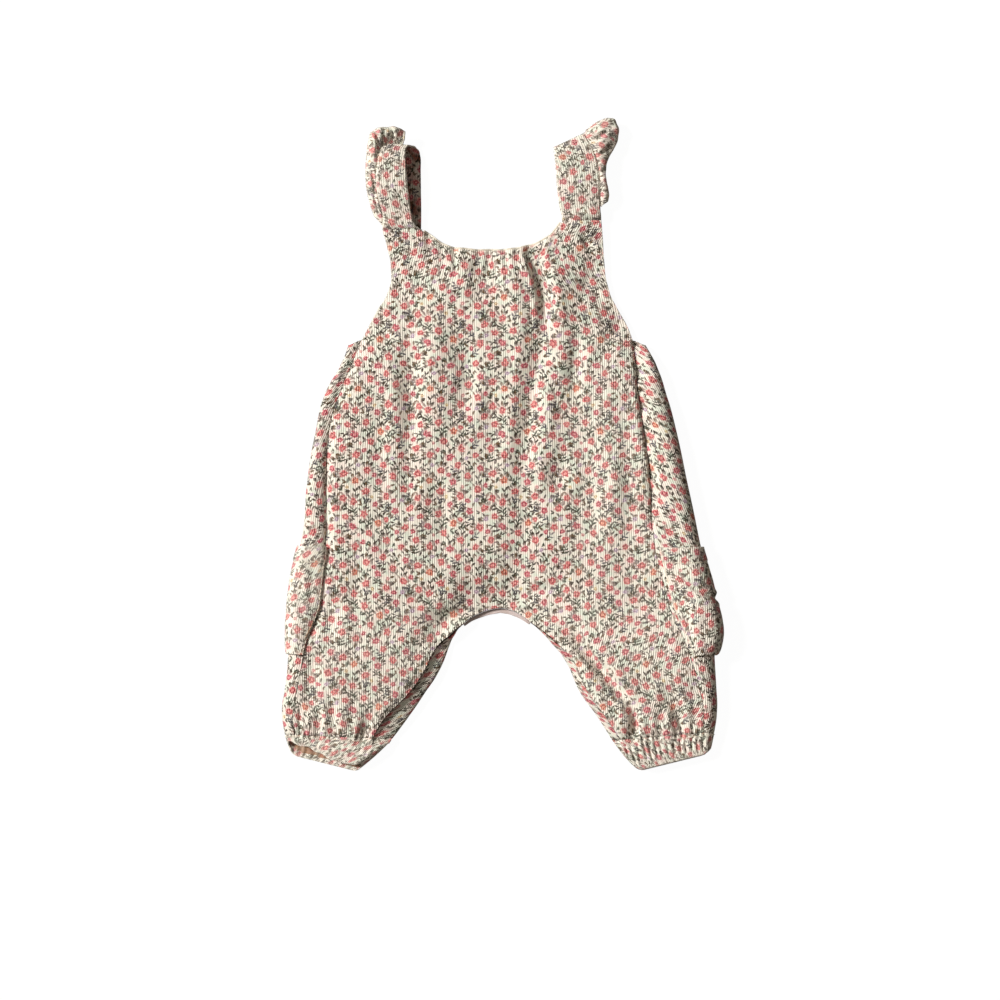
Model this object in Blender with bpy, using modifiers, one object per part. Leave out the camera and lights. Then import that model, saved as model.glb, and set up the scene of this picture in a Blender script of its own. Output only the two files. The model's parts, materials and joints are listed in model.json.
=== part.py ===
"""Baby overalls in printed needlecord, laid flat with the front up.

Sizes are in millimetres until a mesh is made. X runs across the garment (the wearer's right
side is at -X), Y runs from the cuffs to the shoulders, and Z is up from the surface it lies on.

The garment is a run of closed sections: one round the body, then one round each leg. A section
is a flattened loop: flat on the surface below, rolled at both sides, crowned on top. The front
panel takes the top of each loop from seam to seam, and the back panel takes the rest: what
rolls over each side, the sides and the flat underside. All sheets are drawn as their outer
face and get their wall inwards.
"""

from math import atan2, cos, exp, hypot, pi, sin, sqrt
from typing import NamedTuple

import bmesh
import bpy
import numpy as np
from mathutils import Vector

MM = 0.001

# Driving sizes, mm
WALL = 1.4              # needlecord with its seam allowance pressed
RUFFLE_WALL = 1.1
CUFF_WALL = 1.2
BAND_WALL = 1.2
SEAM_GAP = 0.4          # between two pieces at a seam
STRAP_GAP = 0.6         # where a strap meets the front's top edge
BACK_SEAM_GAP = 0.9     # where a strap meets the back, below
LAID_EDGE = 3.6         # outer face of a front edge that lies on the back panel
LEG_EDGE = 7.2          # the same along a leg, where the back curls up to it
CROTCH = (-1.4, -117.4) # middle of the front's crotch edge
CROTCH_REACH = 26.0     # how far above it the front comes down on the back
CROTCH_THICK = 4.0
SEAM_DIP = 1.9          # how far the cloth sinks along a side seam
DIP_WIDTH = 4.0
DIP_FROM = 0.5          # a seam this close to the outline has no dip,
DIP_FULL = 6.0          # and it has its full dip once it lies this much further in
EDGE_RISE = 13.0        # how far in from a laid edge the cloth has risen to its crown
RISE_POWER = 1.5        # it leaves the edge level and then climbs
SIDE_REACH = 36.0       # how far in a side's thickness is felt
ROLL_SHARE = 0.62       # depth of a side's roll seen from above, as a share of its thickness
POCKET_LIFT = WALL + 0.35   # how far the back is held up where a pocket lies under it
POCKET_STEP = 13.0      # columns of the underside beside a roll, which a pocket reaches under
INNER_REACH = 6.0       # a leg's inner side starts at least this far in from the outline
CURLED_BY = 3.0         # a leg's laid edge is at its full height at a third of the curl
CORNER_SHUT = 0.55      # how far the sides are closed at the armhole corners,
CORNER_SPAN = 6.0       # and the sixth of the body over which they close

# Grid, number of faces
FRONT_HALF = 16         # across half of the front
ROLL_TOP = 4            # back panel, from seam to outline
ROLL_UNDER = 3          # from outline to the flat underside
FLOOR_HALF = 10         # flat underside, out to the middle
INNER_STEPS = 6         # a leg's inner side, from the underside over its roll to its seam
END_CROWDING = 0.075    # columns lie closer together towards the front's edges
CURVE_POINTS = 9        # points of a quarter turn before it is evened out
BODICE_ROWS = 8
BODY_ROWS = 19
LEG_ROWS = 12
LEG_ROW_POWER = 1.25    # rows of a leg lie closer together near the crotch


class BodySection(NamedTuple):
    """One section round the body. Above the side seams its edges are the armholes."""

    y: float
    out_l: float
    seam_l: float
    seam_r: float
    out_r: float
    thick_l: float
    thick_r: float
    crown: float


class LegSection(NamedTuple):
    """One section round a leg, from its outer outline to its inner outline."""

    share: float
    out_x: float
    out_y: float
    seam_out: float
    in_x: float
    in_y: float
    seam_in: float
    thick_out: float
    thick_in: float
    crown: float
    shut_in: float


ARMHOLES = [
    #           y     out_l   seam_l  seam_r  out_r  thick_l thick_r crown
    BodySection(154.5, -86.2, -86.2, 71.6, 71.6, 4.0, 4.0, 5.8),
    BodySection(141.0, -82.6, -82.6, 72.8, 72.8, 4.5, 5.0, 7.2),
    BodySection(126.0, -80.2, -80.2, 73.9, 73.9, 5.0, 5.5, 7.8),
    BodySection(111.0, -82.0, -82.0, 76.4, 76.4, 5.0, 6.0, 8.4),
    BodySection(98.0, -89.4, -89.4, 82.2, 82.2, 5.5, 6.5, 8.8),
    BodySection(86.0, -95.8, -95.8, 89.6, 89.6, 6.0, 7.0, 9.2),
]

SIDES = [
    BodySection(75.0, -110.6, -101.4, 94.4, 103.4, 6.8, 8.0, 9.4),
    BodySection(56.0, -117.0, -109.0, 96.6, 111.8, 8.0, 11.0, 9.8),
    BodySection(37.0, -127.4, -116.6, 98.2, 118.2, 8.8, 12.5, 10.2),
    BodySection(10.0, -134.2, -124.2, 102.2, 125.6, 9.6, 14.0, 10.6),
    BodySection(-24.0, -140.0, -126.6, 106.6, 132.8, 10.4, 15.0, 11.0),
    BodySection(-46.0, -141.8, -126.8, 107.6, 137.6, 11.0, 15.5, 11.2),
    BodySection(-67.0, -144.2, -126.8, 109.2, 141.8, 11.6, 16.0, 11.4),
    BodySection(-90.0, -149.8, -127.6, 113.8, 146.4, 12.4, 16.0, 11.6),
    BodySection(-117.4, -152.8, -130.6, 120.6, 150.0, 13.0, 16.0, 11.8),
]

LEFT_LEG = [
    #          share out_x   out_y   seam_out in_x  in_y   seam_in thick_out thick_in crown shut_in
    LegSection(0.00, -152.8, -117.4, 22.2, -1.4, -117.4, 0.6, 13.0, 4.0, 11.8, 0.00),
    LegSection(0.08, -153.0, -121.4, 20.8, -15.2, -121.0, 0.7, 13.0, 5.0, 12.2, 0.06),
    LegSection(0.17, -153.2, -126.8, 18.8, -28.0, -129.4, 1.0, 13.2, 7.0, 13.0, 0.30),
    LegSection(0.25, -153.4, -132.4, 16.6, -34.0, -136.8, 3.0, 13.4, 8.5, 13.8, 0.62),
    LegSection(0.34, -153.6, -140.0, 14.0, -37.8, -144.4, 8.0, 13.6, 10.0, 14.4, 0.92),
    LegSection(0.50, -154.2, -156.0, 11.0, -44.4, -161.0, 10.6, 14.0, 12.0, 15.4, 1.00),
    LegSection(0.67, -156.4, -176.0, 9.4, -55.4, -178.4, 11.4, 14.0, 13.0, 15.6, 1.00),
    LegSection(0.84, -158.4, -192.0, 8.4, -67.4, -196.0, 16.0, 13.0, 13.0, 14.4, 1.00),
    LegSection(1.00, -156.4, -208.4, 7.0, -79.0, -211.6, 14.0, 11.0, 11.0, 11.4, 1.00),
]

RIGHT_LEG = [
    LegSection(0.00, 150.0, -117.4, 29.4, -1.4, -117.4, 0.6, 16.0, 4.0, 11.8, 0.00),
    LegSection(0.08, 150.6, -121.4, 28.2, 9.6, -120.4, 0.7, 16.0, 5.0, 12.4, 0.06),
    LegSection(0.17, 151.2, -126.8, 26.6, 20.7, -128.2, 1.0, 16.0, 7.0, 13.4, 0.30),
    LegSection(0.25, 151.8, -132.4, 24.4, 28.4, -134.8, 2.4, 15.8, 8.5, 14.2, 0.58),
    LegSection(0.34, 152.6, -140.0, 21.6, 35.2, -142.4, 4.0, 15.6, 10.0, 15.0, 0.86),
    LegSection(0.50, 153.2, -156.0, 16.4, 46.8, -157.4, 5.6, 15.0, 12.0, 16.2, 1.00),
    LegSection(0.67, 154.4, -176.0, 12.0, 55.4, -176.8, 5.8, 14.0, 12.6, 16.4, 1.00),
    LegSection(0.84, 154.8, -192.0, 9.8, 67.2, -193.6, 5.8, 13.0, 12.6, 15.0, 1.00),
    LegSection(1.00, 153.0, -206.4, 7.4, 79.4, -212.6, 5.8, 11.0, 11.0, 11.6, 1.00),
]


class EdgePoint(NamedTuple):
    """A point of the front's top edge: across the garment and up it."""

    x: float
    y: float


TOP_EDGE = [
    EdgePoint(-86.2, 154.5),
    EdgePoint(-71.0, 155.4),
    EdgePoint(-57.6, 154.2),
    EdgePoint(-42.5, 144.4),
    EdgePoint(-26.6, 141.0),
    EdgePoint(-8.6, 140.2),
    EdgePoint(7.9, 141.0),
    EdgePoint(16.6, 142.8),
    EdgePoint(31.0, 148.4),
    EdgePoint(38.4, 154.6),
    EdgePoint(43.2, 160.6),
    EdgePoint(57.0, 161.6),
    EdgePoint(71.6, 161.8),
]
NECK_LEFT_X = -57.6
NECK_RIGHT_X = 43.2
BACK_NECK_DROP = 13.0   # the back's neckline lies this far below the front's
BACK_TOP_DROP = 5.0     # the same for its strap ends
BACK_INSET = 1.8        # the back's armholes lie this far inside the front's
ARM_ROUND = 3.0         # how far the back's corner at an armhole is rounded down
ARM_ROUND_ROWS = 2      # rows over which that rounding fades


class Fold(NamedTuple):
    """A soft trough (depth > 0) or ridge (depth < 0) along a bent line in the front."""

    x0: float
    y0: float
    x1: float
    y1: float
    x2: float
    y2: float
    depth: float
    width: float


FOLDS = [
    # the deep fold below the neckline, and its long soft tail down the body
    Fold(19.0, 139.0, 30.0, 122.0, 31.5, 88.0, 4.6, 4.2),
    Fold(31.0, 92.0, 21.0, 35.0, 15.0, -18.0, 2.4, 6.5),
    Fold(14.0, -14.0, 21.0, -62.0, 8.0, -104.0, 1.8, 8.0),
    # the ridge that stands beside it on the left, and the one on the right
    Fold(8.0, 136.0, 12.0, 100.0, 12.0, 66.0, -1.8, 7.0),
    Fold(44.0, 140.0, 46.0, 105.0, 44.0, 62.0, -1.8, 9.0),
    # soft hollows over the bodice and the middle
    Fold(-68.0, 92.0, -64.0, 30.0, -69.0, -38.0, 2.2, 6.0),
    Fold(-27.0, 66.0, -23.0, 50.0, -26.0, 30.0, 1.8, 5.5),
    Fold(54.0, 76.0, 52.0, 52.0, 52.0, 30.0, 1.8, 4.5),
    Fold(40.0, -12.0, 42.0, -20.0, 38.0, -28.0, 1.8, 6.0),
    Fold(-44.0, 118.0, -50.0, 70.0, -46.0, 10.0, -1.4, 9.0),
    Fold(74.0, 20.0, 78.0, -30.0, 82.0, -80.0, -1.6, 12.0),
    # slanted creases from the right strap towards the armhole
    Fold(58.0, 151.0, 62.0, 146.0, 64.5, 142.0, 2.2, 2.6),
    Fold(57.0, 116.0, 66.0, 111.0, 72.0, 105.0, 1.6, 3.4),
    # legs: the right one falls in two long troughs to its cuff, the left one is fuller
    Fold(48.0, -135.0, 74.0, -166.0, 94.0, -190.0, 3.6, 5.0),
    Fold(94.0, -188.0, 97.0, -202.0, 92.0, -214.0, 3.0, 4.6),
    Fold(119.0, -178.0, 128.0, -194.0, 129.0, -208.0, 2.6, 4.4),
    Fold(-136.0, -150.0, -139.0, -168.0, -137.0, -186.0, 1.6, 6.0),
    Fold(-122.0, -112.0, -124.0, -124.0, -123.0, -140.0, 1.5, 6.0),
    Fold(-20.0, -106.0, -40.0, -128.0, -62.0, -150.0, 1.8, 7.0),
    Fold(-96.0, -196.0, -98.0, -206.0, -99.0, -216.0, 2.8, 4.6),
]

NECK_GATHERS = 11       # small gathers under the middle of the neckline
NECK_GATHER_DEPTH = 0.9
NECK_GATHER_LENGTH = 15.0
HEM_GATHERS = 13        # gathers that run up each leg from its elastic, on the side that shows
HEM_GATHER_DEPTH = 0.9
HEM_GATHER_ROWS = 1.0   # rows up from the elastic over which they fade
CALM_EDGE = 8.0         # folds are shallower than this close to a seam,
CALM_SHARE = 0.35       # down to this share of their depth
FOLD_POINTS = 25        # points along a fold's line
FOLD_REACH = 4.0        # a fold is felt this many of its widths away
FOLD_END = 0.35         # share of its depth that a fold keeps at its ends


class RibbonRow(NamedTuple):
    """A row across a strap: its left and right edge points on the outer face."""

    lx: float
    ly: float
    lz: float
    rx: float
    ry: float
    rz: float


# Each strap runs from the front's top edge up to the shoulder, turns over and comes back down
# under itself on the surface to the back panel. Its first and last rows come from the panels.
LEFT_STRAP = [
    RibbonRow(-86.0, 166.0, 9.0, -64.8, 165.0, 9.4),
    RibbonRow(-89.0, 178.0, 12.0, -66.6, 177.0, 12.4),
    RibbonRow(-90.4, 190.0, 13.8, -67.9, 189.0, 13.6),
    RibbonRow(-89.6, 202.0, 14.4, -69.0, 201.0, 13.8),
    RibbonRow(-87.8, 210.0, 13.6, -69.2, 209.4, 12.8),
    RibbonRow(-85.8, 215.4, 10.6, -68.0, 214.6, 10.0),
    RibbonRow(-83.4, 216.6, 6.6, -65.0, 215.6, 6.2),
    RibbonRow(-80.4, 214.8, 2.6, -61.4, 213.8, 2.6),
    RibbonRow(-79.2, 209.4, 0.0, -58.9, 208.4, 0.0),
    RibbonRow(-78.8, 198.0, 0.0, -58.6, 198.0, 0.0),
    RibbonRow(-79.4, 182.0, 0.0, -58.4, 182.0, 0.0),
    RibbonRow(-81.4, 166.0, 0.0, -58.2, 166.0, 0.0),
]

RIGHT_STRAP = [
    RibbonRow(41.6, 170.0, 8.6, 70.8, 171.4, 8.2),
    RibbonRow(39.8, 182.0, 10.2, 70.8, 184.0, 9.8),
    RibbonRow(38.8, 195.0, 10.8, 69.8, 197.6, 10.6),
    RibbonRow(37.9, 205.4, 10.6, 66.0, 211.0, 10.8),
    RibbonRow(37.2, 211.4, 9.4, 61.0, 220.2, 10.0),
    RibbonRow(37.2, 214.2, 6.4, 58.8, 224.0, 6.8),
    RibbonRow(37.8, 212.6, 2.4, 59.0, 222.0, 2.6),
    RibbonRow(38.8, 207.0, 0.0, 60.4, 215.0, 0.0),
    RibbonRow(40.6, 194.0, 0.0, 63.6, 199.0, 0.0),
    RibbonRow(42.0, 180.0, 0.0, 66.0, 182.0, 0.0),
    RibbonRow(42.8, 168.0, 0.0, 67.6, 168.0, 0.0),
]


class RuffleRow(NamedTuple):
    """A row across a ruffle: where it is sewn in, the crest of its curl and its free rim."""

    sx: float
    sy: float
    sz: float
    cx: float
    cy: float
    cz: float
    rx: float
    ry: float
    rz: float


LEFT_RUFFLE = [
    RuffleRow(-85.0, 158.4, 7.2, -87.2, 158.4, 8.2, -89.4, 158.6, 7.2),
    RuffleRow(-86.4, 166.0, 9.0, -89.4, 165.6, 12.0, -93.0, 167.0, 8.6),
    RuffleRow(-88.2, 173.0, 11.0, -91.6, 172.6, 16.0, -95.0, 173.4, 10.6),
    RuffleRow(-89.8, 180.0, 12.4, -93.2, 180.6, 18.6, -97.0, 181.0, 11.0),
    RuffleRow(-90.7, 188.0, 13.6, -94.6, 188.4, 20.6, -98.0, 189.0, 12.2),
    RuffleRow(-90.5, 197.0, 14.2, -95.0, 197.4, 21.4, -98.2, 198.0, 12.6),
    RuffleRow(-89.3, 206.0, 13.8, -94.4, 207.2, 22.4, -97.6, 208.2, 12.8),
    RuffleRow(-87.9, 212.4, 12.4, -92.6, 217.2, 23.4, -96.0, 218.4, 13.0),
    RuffleRow(-86.2, 216.4, 10.4, -87.4, 224.4, 24.0, -92.2, 226.0, 14.0),
    RuffleRow(-82.4, 217.8, 8.4, -81.2, 226.4, 23.6, -82.0, 228.4, 12.0),
    RuffleRow(-76.6, 217.8, 7.6, -75.0, 225.6, 21.6, -75.2, 228.2, 10.6),
    RuffleRow(-70.8, 217.2, 7.2, -69.4, 221.8, 16.6, -69.4, 225.4, 9.6),
]

RIGHT_RUFFLE = [
    RuffleRow(71.2, 171.6, 7.8, 72.8, 171.4, 8.8, 74.4, 171.6, 8.0),
    RuffleRow(71.2, 177.0, 8.9, 74.2, 176.8, 11.6, 76.8, 177.2, 8.4),
    RuffleRow(71.2, 184.0, 9.8, 74.0, 184.0, 12.2, 76.6, 183.8, 9.0),
    RuffleRow(70.7, 191.0, 10.2, 73.0, 191.2, 11.8, 75.2, 190.8, 9.4),
    RuffleRow(70.1, 198.0, 10.6, 72.6, 198.4, 12.4, 75.0, 198.0, 9.6),
    RuffleRow(67.9, 206.0, 10.8, 71.8, 207.6, 14.0, 76.8, 206.2, 8.2),
    RuffleRow(65.5, 213.2, 10.8, 72.0, 216.6, 15.4, 81.0, 213.8, 7.4),
    RuffleRow(62.3, 219.2, 10.2, 71.6, 224.0, 16.0, 83.8, 222.4, 7.6),
    RuffleRow(60.6, 222.6, 8.8, 69.6, 228.4, 15.0, 82.8, 230.8, 8.2),
    RuffleRow(59.7, 224.4, 7.2, 66.8, 230.4, 11.8, 77.8, 235.4, 7.0),
    RuffleRow(59.2, 225.2, 5.6, 63.8, 230.0, 7.6, 69.0, 233.2, 4.8),
]
RUFFLE_WAVE = 0.7
RUFFLE_WAVES = 7


class CuffSize(NamedTuple):
    """An elastic cuff: its line at the leg, its line at the mouth, and how the lip is cut."""

    top_out: tuple
    top_in: tuple
    mouth_out: tuple
    mouth_in: tuple
    thick: float
    mouth_thick: float
    lip_out: float
    lip_in: float
    ridges: int


CUFFS = {
    "cuff_left": CuffSize(
        (-156.2, -209.0), (-79.2, -212.4), (-153.8, -223.0), (-101.2, -236.2), 11.0, 9.6, 7.6, 1.4, 28
    ),
    "cuff_right": CuffSize(
        (152.9, -207.0), (79.8, -213.4), (150.4, -222.4), (96.0, -235.8), 11.0, 8.6, 0.8, 0.8, 30
    ),
}
CUFF_RIDGE = 0.85
CUFF_POINTS_PER_RIDGE = 3
CUFF_ROWS = 3
CUFF_RING_STEPS = 60        # steps across each side of a ring before it is evened out
CUFF_FLAT_TO = 2.0          # no ridges this low down, where it rests
CUFF_RIDGES_FROM = 5.0      # full ridges from this height up
CUFF_RIDGE_AT_LEG = 0.55    # share of a ridge's height at the line where the cuff is sewn on
CUFF_RIDGE_AT_SIDE = 0.3    # and where the ring turns down at its sides
CUFF_LIP_REACH = 1.15       # the lip has its inner cut a little before the inner side


class PocketSize(NamedTuple):
    """A patch pocket on the back panel beside a side seam, round the side and under it."""

    side: int
    top_y: float
    bottom_y: float
    from_seam: float
    bulge: float


POCKETS = {
    "pocket_left": PocketSize(-1, -73.0, -151.0, 1.0, 1.4),
    "pocket_right": PocketSize(1, -73.6, -151.6, 4.0, 6.6),
}
POCKET_FLOOR_COLUMNS = 2    # columns of the underside that a pocket reaches under
POCKET_RAMP = 10.0          # past a pocket's edge the underside comes down over this much
LIFTED_UP_TO = 6.0          # the part of a side's roll, in height, that a pocket lifts
POCKET_ROW_ROOM = 3.0       # no row of the pocket lies closer than this to its top or bottom
POCKET_FIRST_STEP = 0.8     # the most of its first column that a pocket may stand back
PUFF_ACROSS = 1.5           # a pocket is fullest a third of the way round the side,
PUFF_DOWN = 2.2             # and below its middle,
PUFF_BLUNT = 0.6            # with a blunt fade up and down
PUFF_UP_TO = 4.0            # it isn't puffed out where it lies on the surface

COLOURS = {
    "cord_front": (0.80, 0.66, 0.58),
    "cord_back": (0.74, 0.60, 0.52),
    "cord_trim": (0.84, 0.72, 0.64),
    "binding": (0.86, 0.80, 0.72),
    "band": (0.78, 0.68, 0.66),
}


def hermite(xs, ys, x):
    """A smooth curve through the points (xs, ys), read at x. xs rises."""
    xs = np.asarray(xs, float)
    ys = np.asarray(ys, float)
    i = int(np.clip(np.searchsorted(xs, x) - 1, 0, len(xs) - 2))
    steps = np.diff(ys) / np.diff(xs)
    slopes = np.concatenate(([steps[0]], (steps[1:] + steps[:-1]) / 2, [steps[-1]]))
    h = xs[i + 1] - xs[i]
    t = (x - xs[i]) / h
    a = ys[i] + t * h * slopes[i]
    b = ys[i + 1] + (t - 1) * h * slopes[i + 1]
    w = t * t * (3 - 2 * t)
    return float(a * (1 - w) + b * w)


def section_at(table, t):
    """The section a share t of the way down a table, from 0 to 1, with each column smooth."""
    legs = isinstance(table[0], LegSection)
    stations = [row.share for row in table] if legs else np.linspace(0, 1, len(table))
    return type(table[0])(*(hermite(stations, column, t) for column in zip(*table)))


def smoothstep(x):
    x = min(max(x, 0.0), 1.0)
    return x * x * (3 - 2 * x)


def lerp(a, b, t):
    return a + (b - a) * t


def top_edge_y(x):
    x = min(max(x, TOP_EDGE[0].x), TOP_EDGE[-1].x)
    return hermite([p.x for p in TOP_EDGE], [p.y for p in TOP_EDGE], x)


def along_top_edge(x, y, drop=0.0):
    """A bodice row's y at x, once the rows are bent so that the first one is the top edge."""
    corner, top = SIDES[0].y, ARMHOLES[0].y
    return corner + (y - corner) * (top_edge_y(x) - drop - corner) / (top - corner)


def fold_line(fold, t):
    """The point a share t along a fold's bent line."""
    a, b, c = (1 - t) ** 2, 2 * t * (1 - t), t * t
    return a * fold.x0 + b * fold.x1 + c * fold.x2, a * fold.y0 + b * fold.y1 + c * fold.y2


FOLD_SAMPLES = {
    fold: np.array([fold_line(fold, t) for t in np.linspace(0, 1, FOLD_POINTS)])
    for fold in FOLDS
}


def fold_depth(x, y):
    """How far the front sinks at (x, y) for all its folds, each fading to its ends."""
    depth = 0.0
    for fold, line in FOLD_SAMPLES.items():
        d = np.hypot(line[:, 0] - x, line[:, 1] - y)
        near = int(np.argmin(d))
        if d[near] < FOLD_REACH * fold.width:
            fade = lerp(FOLD_END, 1.0, sin(pi * near / (len(line) - 1)))
            depth += fold.depth * fade * exp(-((d[near] / fold.width) ** 2))
    return depth


class Loop:
    """A closed flattened section between two outline points, a and b, seen from above."""

    def __init__(self, a, b, seams, thick, crown, shut, bodice=False, laid=LAID_EDGE):
        self.a, self.b = a, b
        self.length = hypot(b[0] - a[0], b[1] - a[1])
        self.seams = seams
        self.thick = thick
        self.crown = crown
        self.shut = shut
        self.bodice = bodice
        self.laid = laid

    def plan(self, s):
        """The point seen from above, s along the loop's line from a."""
        t = s / self.length
        x, y = lerp(self.a[0], self.b[0], t), lerp(self.a[1], self.b[1], t)
        if self.bodice:
            y = along_top_edge(x, y)
        return x, y

    def height(self, s):
        """The loop's thickness at s before its ends are rolled."""
        near_a = exp(-((s / SIDE_REACH) ** 2))
        near_b = exp(-(((self.length - s) / SIDE_REACH) ** 2))
        return (
            self.crown
            + (self.thick[0] - self.crown) * near_a
            + (self.thick[1] - self.crown) * near_b
        )

    def roll(self, end, d):
        """How far the quarter turn at an end has come up, d in from the outline: 0 to 1."""
        depth = ROLL_SHARE * self.thick[end]
        if d >= depth:
            return 1.0
        return sqrt(max(0.0, 1 - (1 - max(d, 0.0) / depth) ** 2))

    def top(self, s):
        """The outer face above the point s."""
        h = self.height(s)
        z = h
        for end, d in enumerate((s, self.length - s)):
            middle = self.thick[end] / 2
            seam = self.seams[end]
            rolled = (middle + (h - middle) * self.roll(end, d)) / h
            inside = abs(d - seam)
            laid = lerp(self.laid / h, 1.0, 1 - exp(-((inside / EDGE_RISE) ** RISE_POWER)))
            z *= lerp(laid, rolled, self.shut[end])
            dip_room = min(1.0, max(0.0, (seam - DIP_FROM) / DIP_FULL))
            z -= self.shut[end] * dip_room * SEAM_DIP * exp(-((inside / DIP_WIDTH) ** 2))
        return z

    def under(self, end, d):
        """The outer face below, d in from the outline at an end: 0 on the surface."""
        return self.thick[end] / 2 * self.shut[end] * (1 - self.roll(end, d))


def body_loop(section, bodice=False):
    seams = (section.seam_l - section.out_l, section.out_r - section.seam_r)
    shut = 0.0 if bodice else 1.0
    return Loop(
        (section.out_l, section.y), (section.out_r, section.y), seams,
        (section.thick_l, section.thick_r), section.crown, (shut, shut), bodice,
    )


def leg_loop(section):
    laid = lerp(LAID_EDGE, LEG_EDGE, smoothstep(section.shut_in * CURLED_BY))
    return Loop(
        (section.out_x, section.out_y), (section.in_x, section.in_y),
        (section.seam_out, section.seam_in), (section.thick_out, section.thick_in),
        section.crown, (1.0, section.shut_in), laid=laid,
    )


def bodice_loops():
    """Sections from the top edge down to the armhole corners; the first follows the neckline."""
    loops = []
    for row in range(BODICE_ROWS):
        t = row / BODICE_ROWS
        section = section_at(ARMHOLES + SIDES[:1], t)
        section = section._replace(out_l=section.seam_l, out_r=section.seam_r)
        loops.append(body_loop(section, bodice=True))
    return loops


def body_loops():
    """Sections from the armhole corners down to the crotch."""
    loops = []
    for row in range(BODY_ROWS + 1):
        t = row / BODY_ROWS
        loop = body_loop(section_at(SIDES, t))
        shut = lerp(CORNER_SHUT, 1.0, smoothstep(t * CORNER_SPAN))
        loop.shut = (shut, shut)
        loops.append(loop)
    return loops


def leg_loops(table):
    """Sections from just below the crotch down to the elastic."""
    stations = [(row / LEG_ROWS) ** LEG_ROW_POWER for row in range(1, LEG_ROWS + 1)]
    return [leg_loop(section_at(table, t)) for t in stations]


def spread(count):
    """Shares from 0 to 1, closer together at both ends."""
    return [w - END_CROWDING * sin(2 * pi * w) for w in np.linspace(0, 1, count + 1)]


def crotch_dip(x, y, z, crown):
    """The front comes down on the back where the legs part, in the form that the legs go on."""
    d = abs(x - CROTCH[0])
    h = lerp(crown, CROTCH_THICK, exp(-((d / SIDE_REACH) ** 2)))
    low = lerp(LAID_EDGE, h, 1 - exp(-((d / EDGE_RISE) ** RISE_POWER)))
    fade = exp(-(((y - CROTCH[1]) / CROTCH_REACH) ** 2))
    return lerp(z, min(z, low), fade)


def gathers(share, count, depth):
    """The troughs of so many even gathers, a share of the way along them."""
    return -depth * (0.5 - 0.5 * cos(2 * pi * count * share)) if 0 < share < 1 else 0.0


def front_point(loop, s, hem=0.0):
    """A point of the front's outer face, s along a loop."""
    x, y = loop.plan(s)
    z = loop.top(s)
    edge = min(s - loop.seams[0], loop.length - loop.seams[1] - s)
    if y >= CROTCH[1]:
        z = crotch_dip(x, y, z, loop.crown)
    z -= fold_depth(x, y) * lerp(CALM_SHARE, 1.0, smoothstep(edge / CALM_EDGE))
    if loop.bodice:
        share = (x - NECK_LEFT_X) / (NECK_RIGHT_X - NECK_LEFT_X)
        below = (top_edge_y(x) - y) / NECK_GATHER_LENGTH
        z += gathers(share, NECK_GATHERS, NECK_GATHER_DEPTH) * exp(-(below**2))
    z += gathers(s / loop.length, HEM_GATHERS, HEM_GATHER_DEPTH) * hem
    return Vector((x, y, max(z, LAID_EDGE)))


def hem_fade(row):
    """How strong the gathers from the elastic are, by row of the leg."""
    rows_up = LEG_ROWS - 1 - row
    return exp(-((rows_up / HEM_GATHER_ROWS) ** 2))


def front_row(loop, shares, hem=0.0):
    first, last = loop.seams[0] + SEAM_GAP / 2, loop.length - loop.seams[1] - SEAM_GAP / 2
    return [front_point(loop, lerp(first, last, w), hem) for w in shares]


def crotch_shares():
    """Shares across the body's front whose middle one falls on the crotch."""
    section = SIDES[-1]
    middle = (CROTCH[0] - section.seam_l) / (section.seam_r - section.seam_l)
    half = spread(FRONT_HALF * 2)
    return [w + (middle - 0.5) * sin(pi * w) for w in half]


def front_rows():
    """Outer-face rows of the front: body rows, then the left and the right leg's rows."""
    shares = crotch_shares()
    body = [front_row(loop, shares) for loop in bodice_loops() + body_loops()]
    half = spread(FRONT_HALF)
    left = [front_row(lp, half, hem_fade(i)) for i, lp in enumerate(leg_loops(LEFT_LEG))]
    right = [front_row(lp, half, hem_fade(i))[::-1] for i, lp in enumerate(leg_loops(RIGHT_LEG))]
    return body, left, right


def resample(points, count):
    """The polyline's points moved to equal steps along it."""
    steps = [0.0]
    for p, q in zip(points, points[1:]):
        steps.append(steps[-1] + (q - p).length)
    out = []
    for target in np.linspace(0, steps[-1], count + 1):
        i = int(np.clip(np.searchsorted(steps, target) - 1, 0, len(points) - 2))
        t = (target - steps[i]) / max(steps[i + 1] - steps[i], 1e-9)
        out.append(points[i].lerp(points[i + 1], t))
    return out


def roll_over(loop, end):
    """The back panel's points at an end: from the seam over the roll down to the underside."""
    seam = loop.seams[end] - SEAM_GAP / 2
    depth = ROLL_SHARE * loop.thick[end]

    def at(d):
        return d if end == 0 else loop.length - d

    top = []
    for t in np.linspace(0, 1, CURVE_POINTS):
        d = seam * (1 - sin(t * pi / 2))
        s = at(d)
        x, y = loop.plan(s)
        top.append(Vector((x, y, loop.top(s))))
    below = []
    for t in np.linspace(0, 1, CURVE_POINTS):
        d = depth * (1 - cos(t * pi / 2))
        x, y = loop.plan(at(d))
        below.append(Vector((x, y, loop.under(end, d))))
    below[0] = top[-1].copy()
    return resample(top, ROLL_TOP) + resample(below, ROLL_UNDER)[1:]


def pocket_lift(y):
    """How far the underside is held up, at and just past the pockets that lie under it."""
    lift = 0.0
    for size in POCKETS.values():
        below_top = smoothstep(2 - (y - size.top_y) / POCKET_RAMP)
        above_bottom = smoothstep(2 - (size.bottom_y - y) / POCKET_RAMP)
        lift = max(lift, POCKET_LIFT * below_top * above_bottom)
    return lift


def lifted(points):
    """The points of a roll, raised where a pocket lies under them."""
    out = []
    for p in points:
        share = smoothstep(1 - p.z / LIFTED_UP_TO)
        out.append(Vector((p.x, p.y, p.z + pocket_lift(p.y) * share)))
    return out


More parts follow.
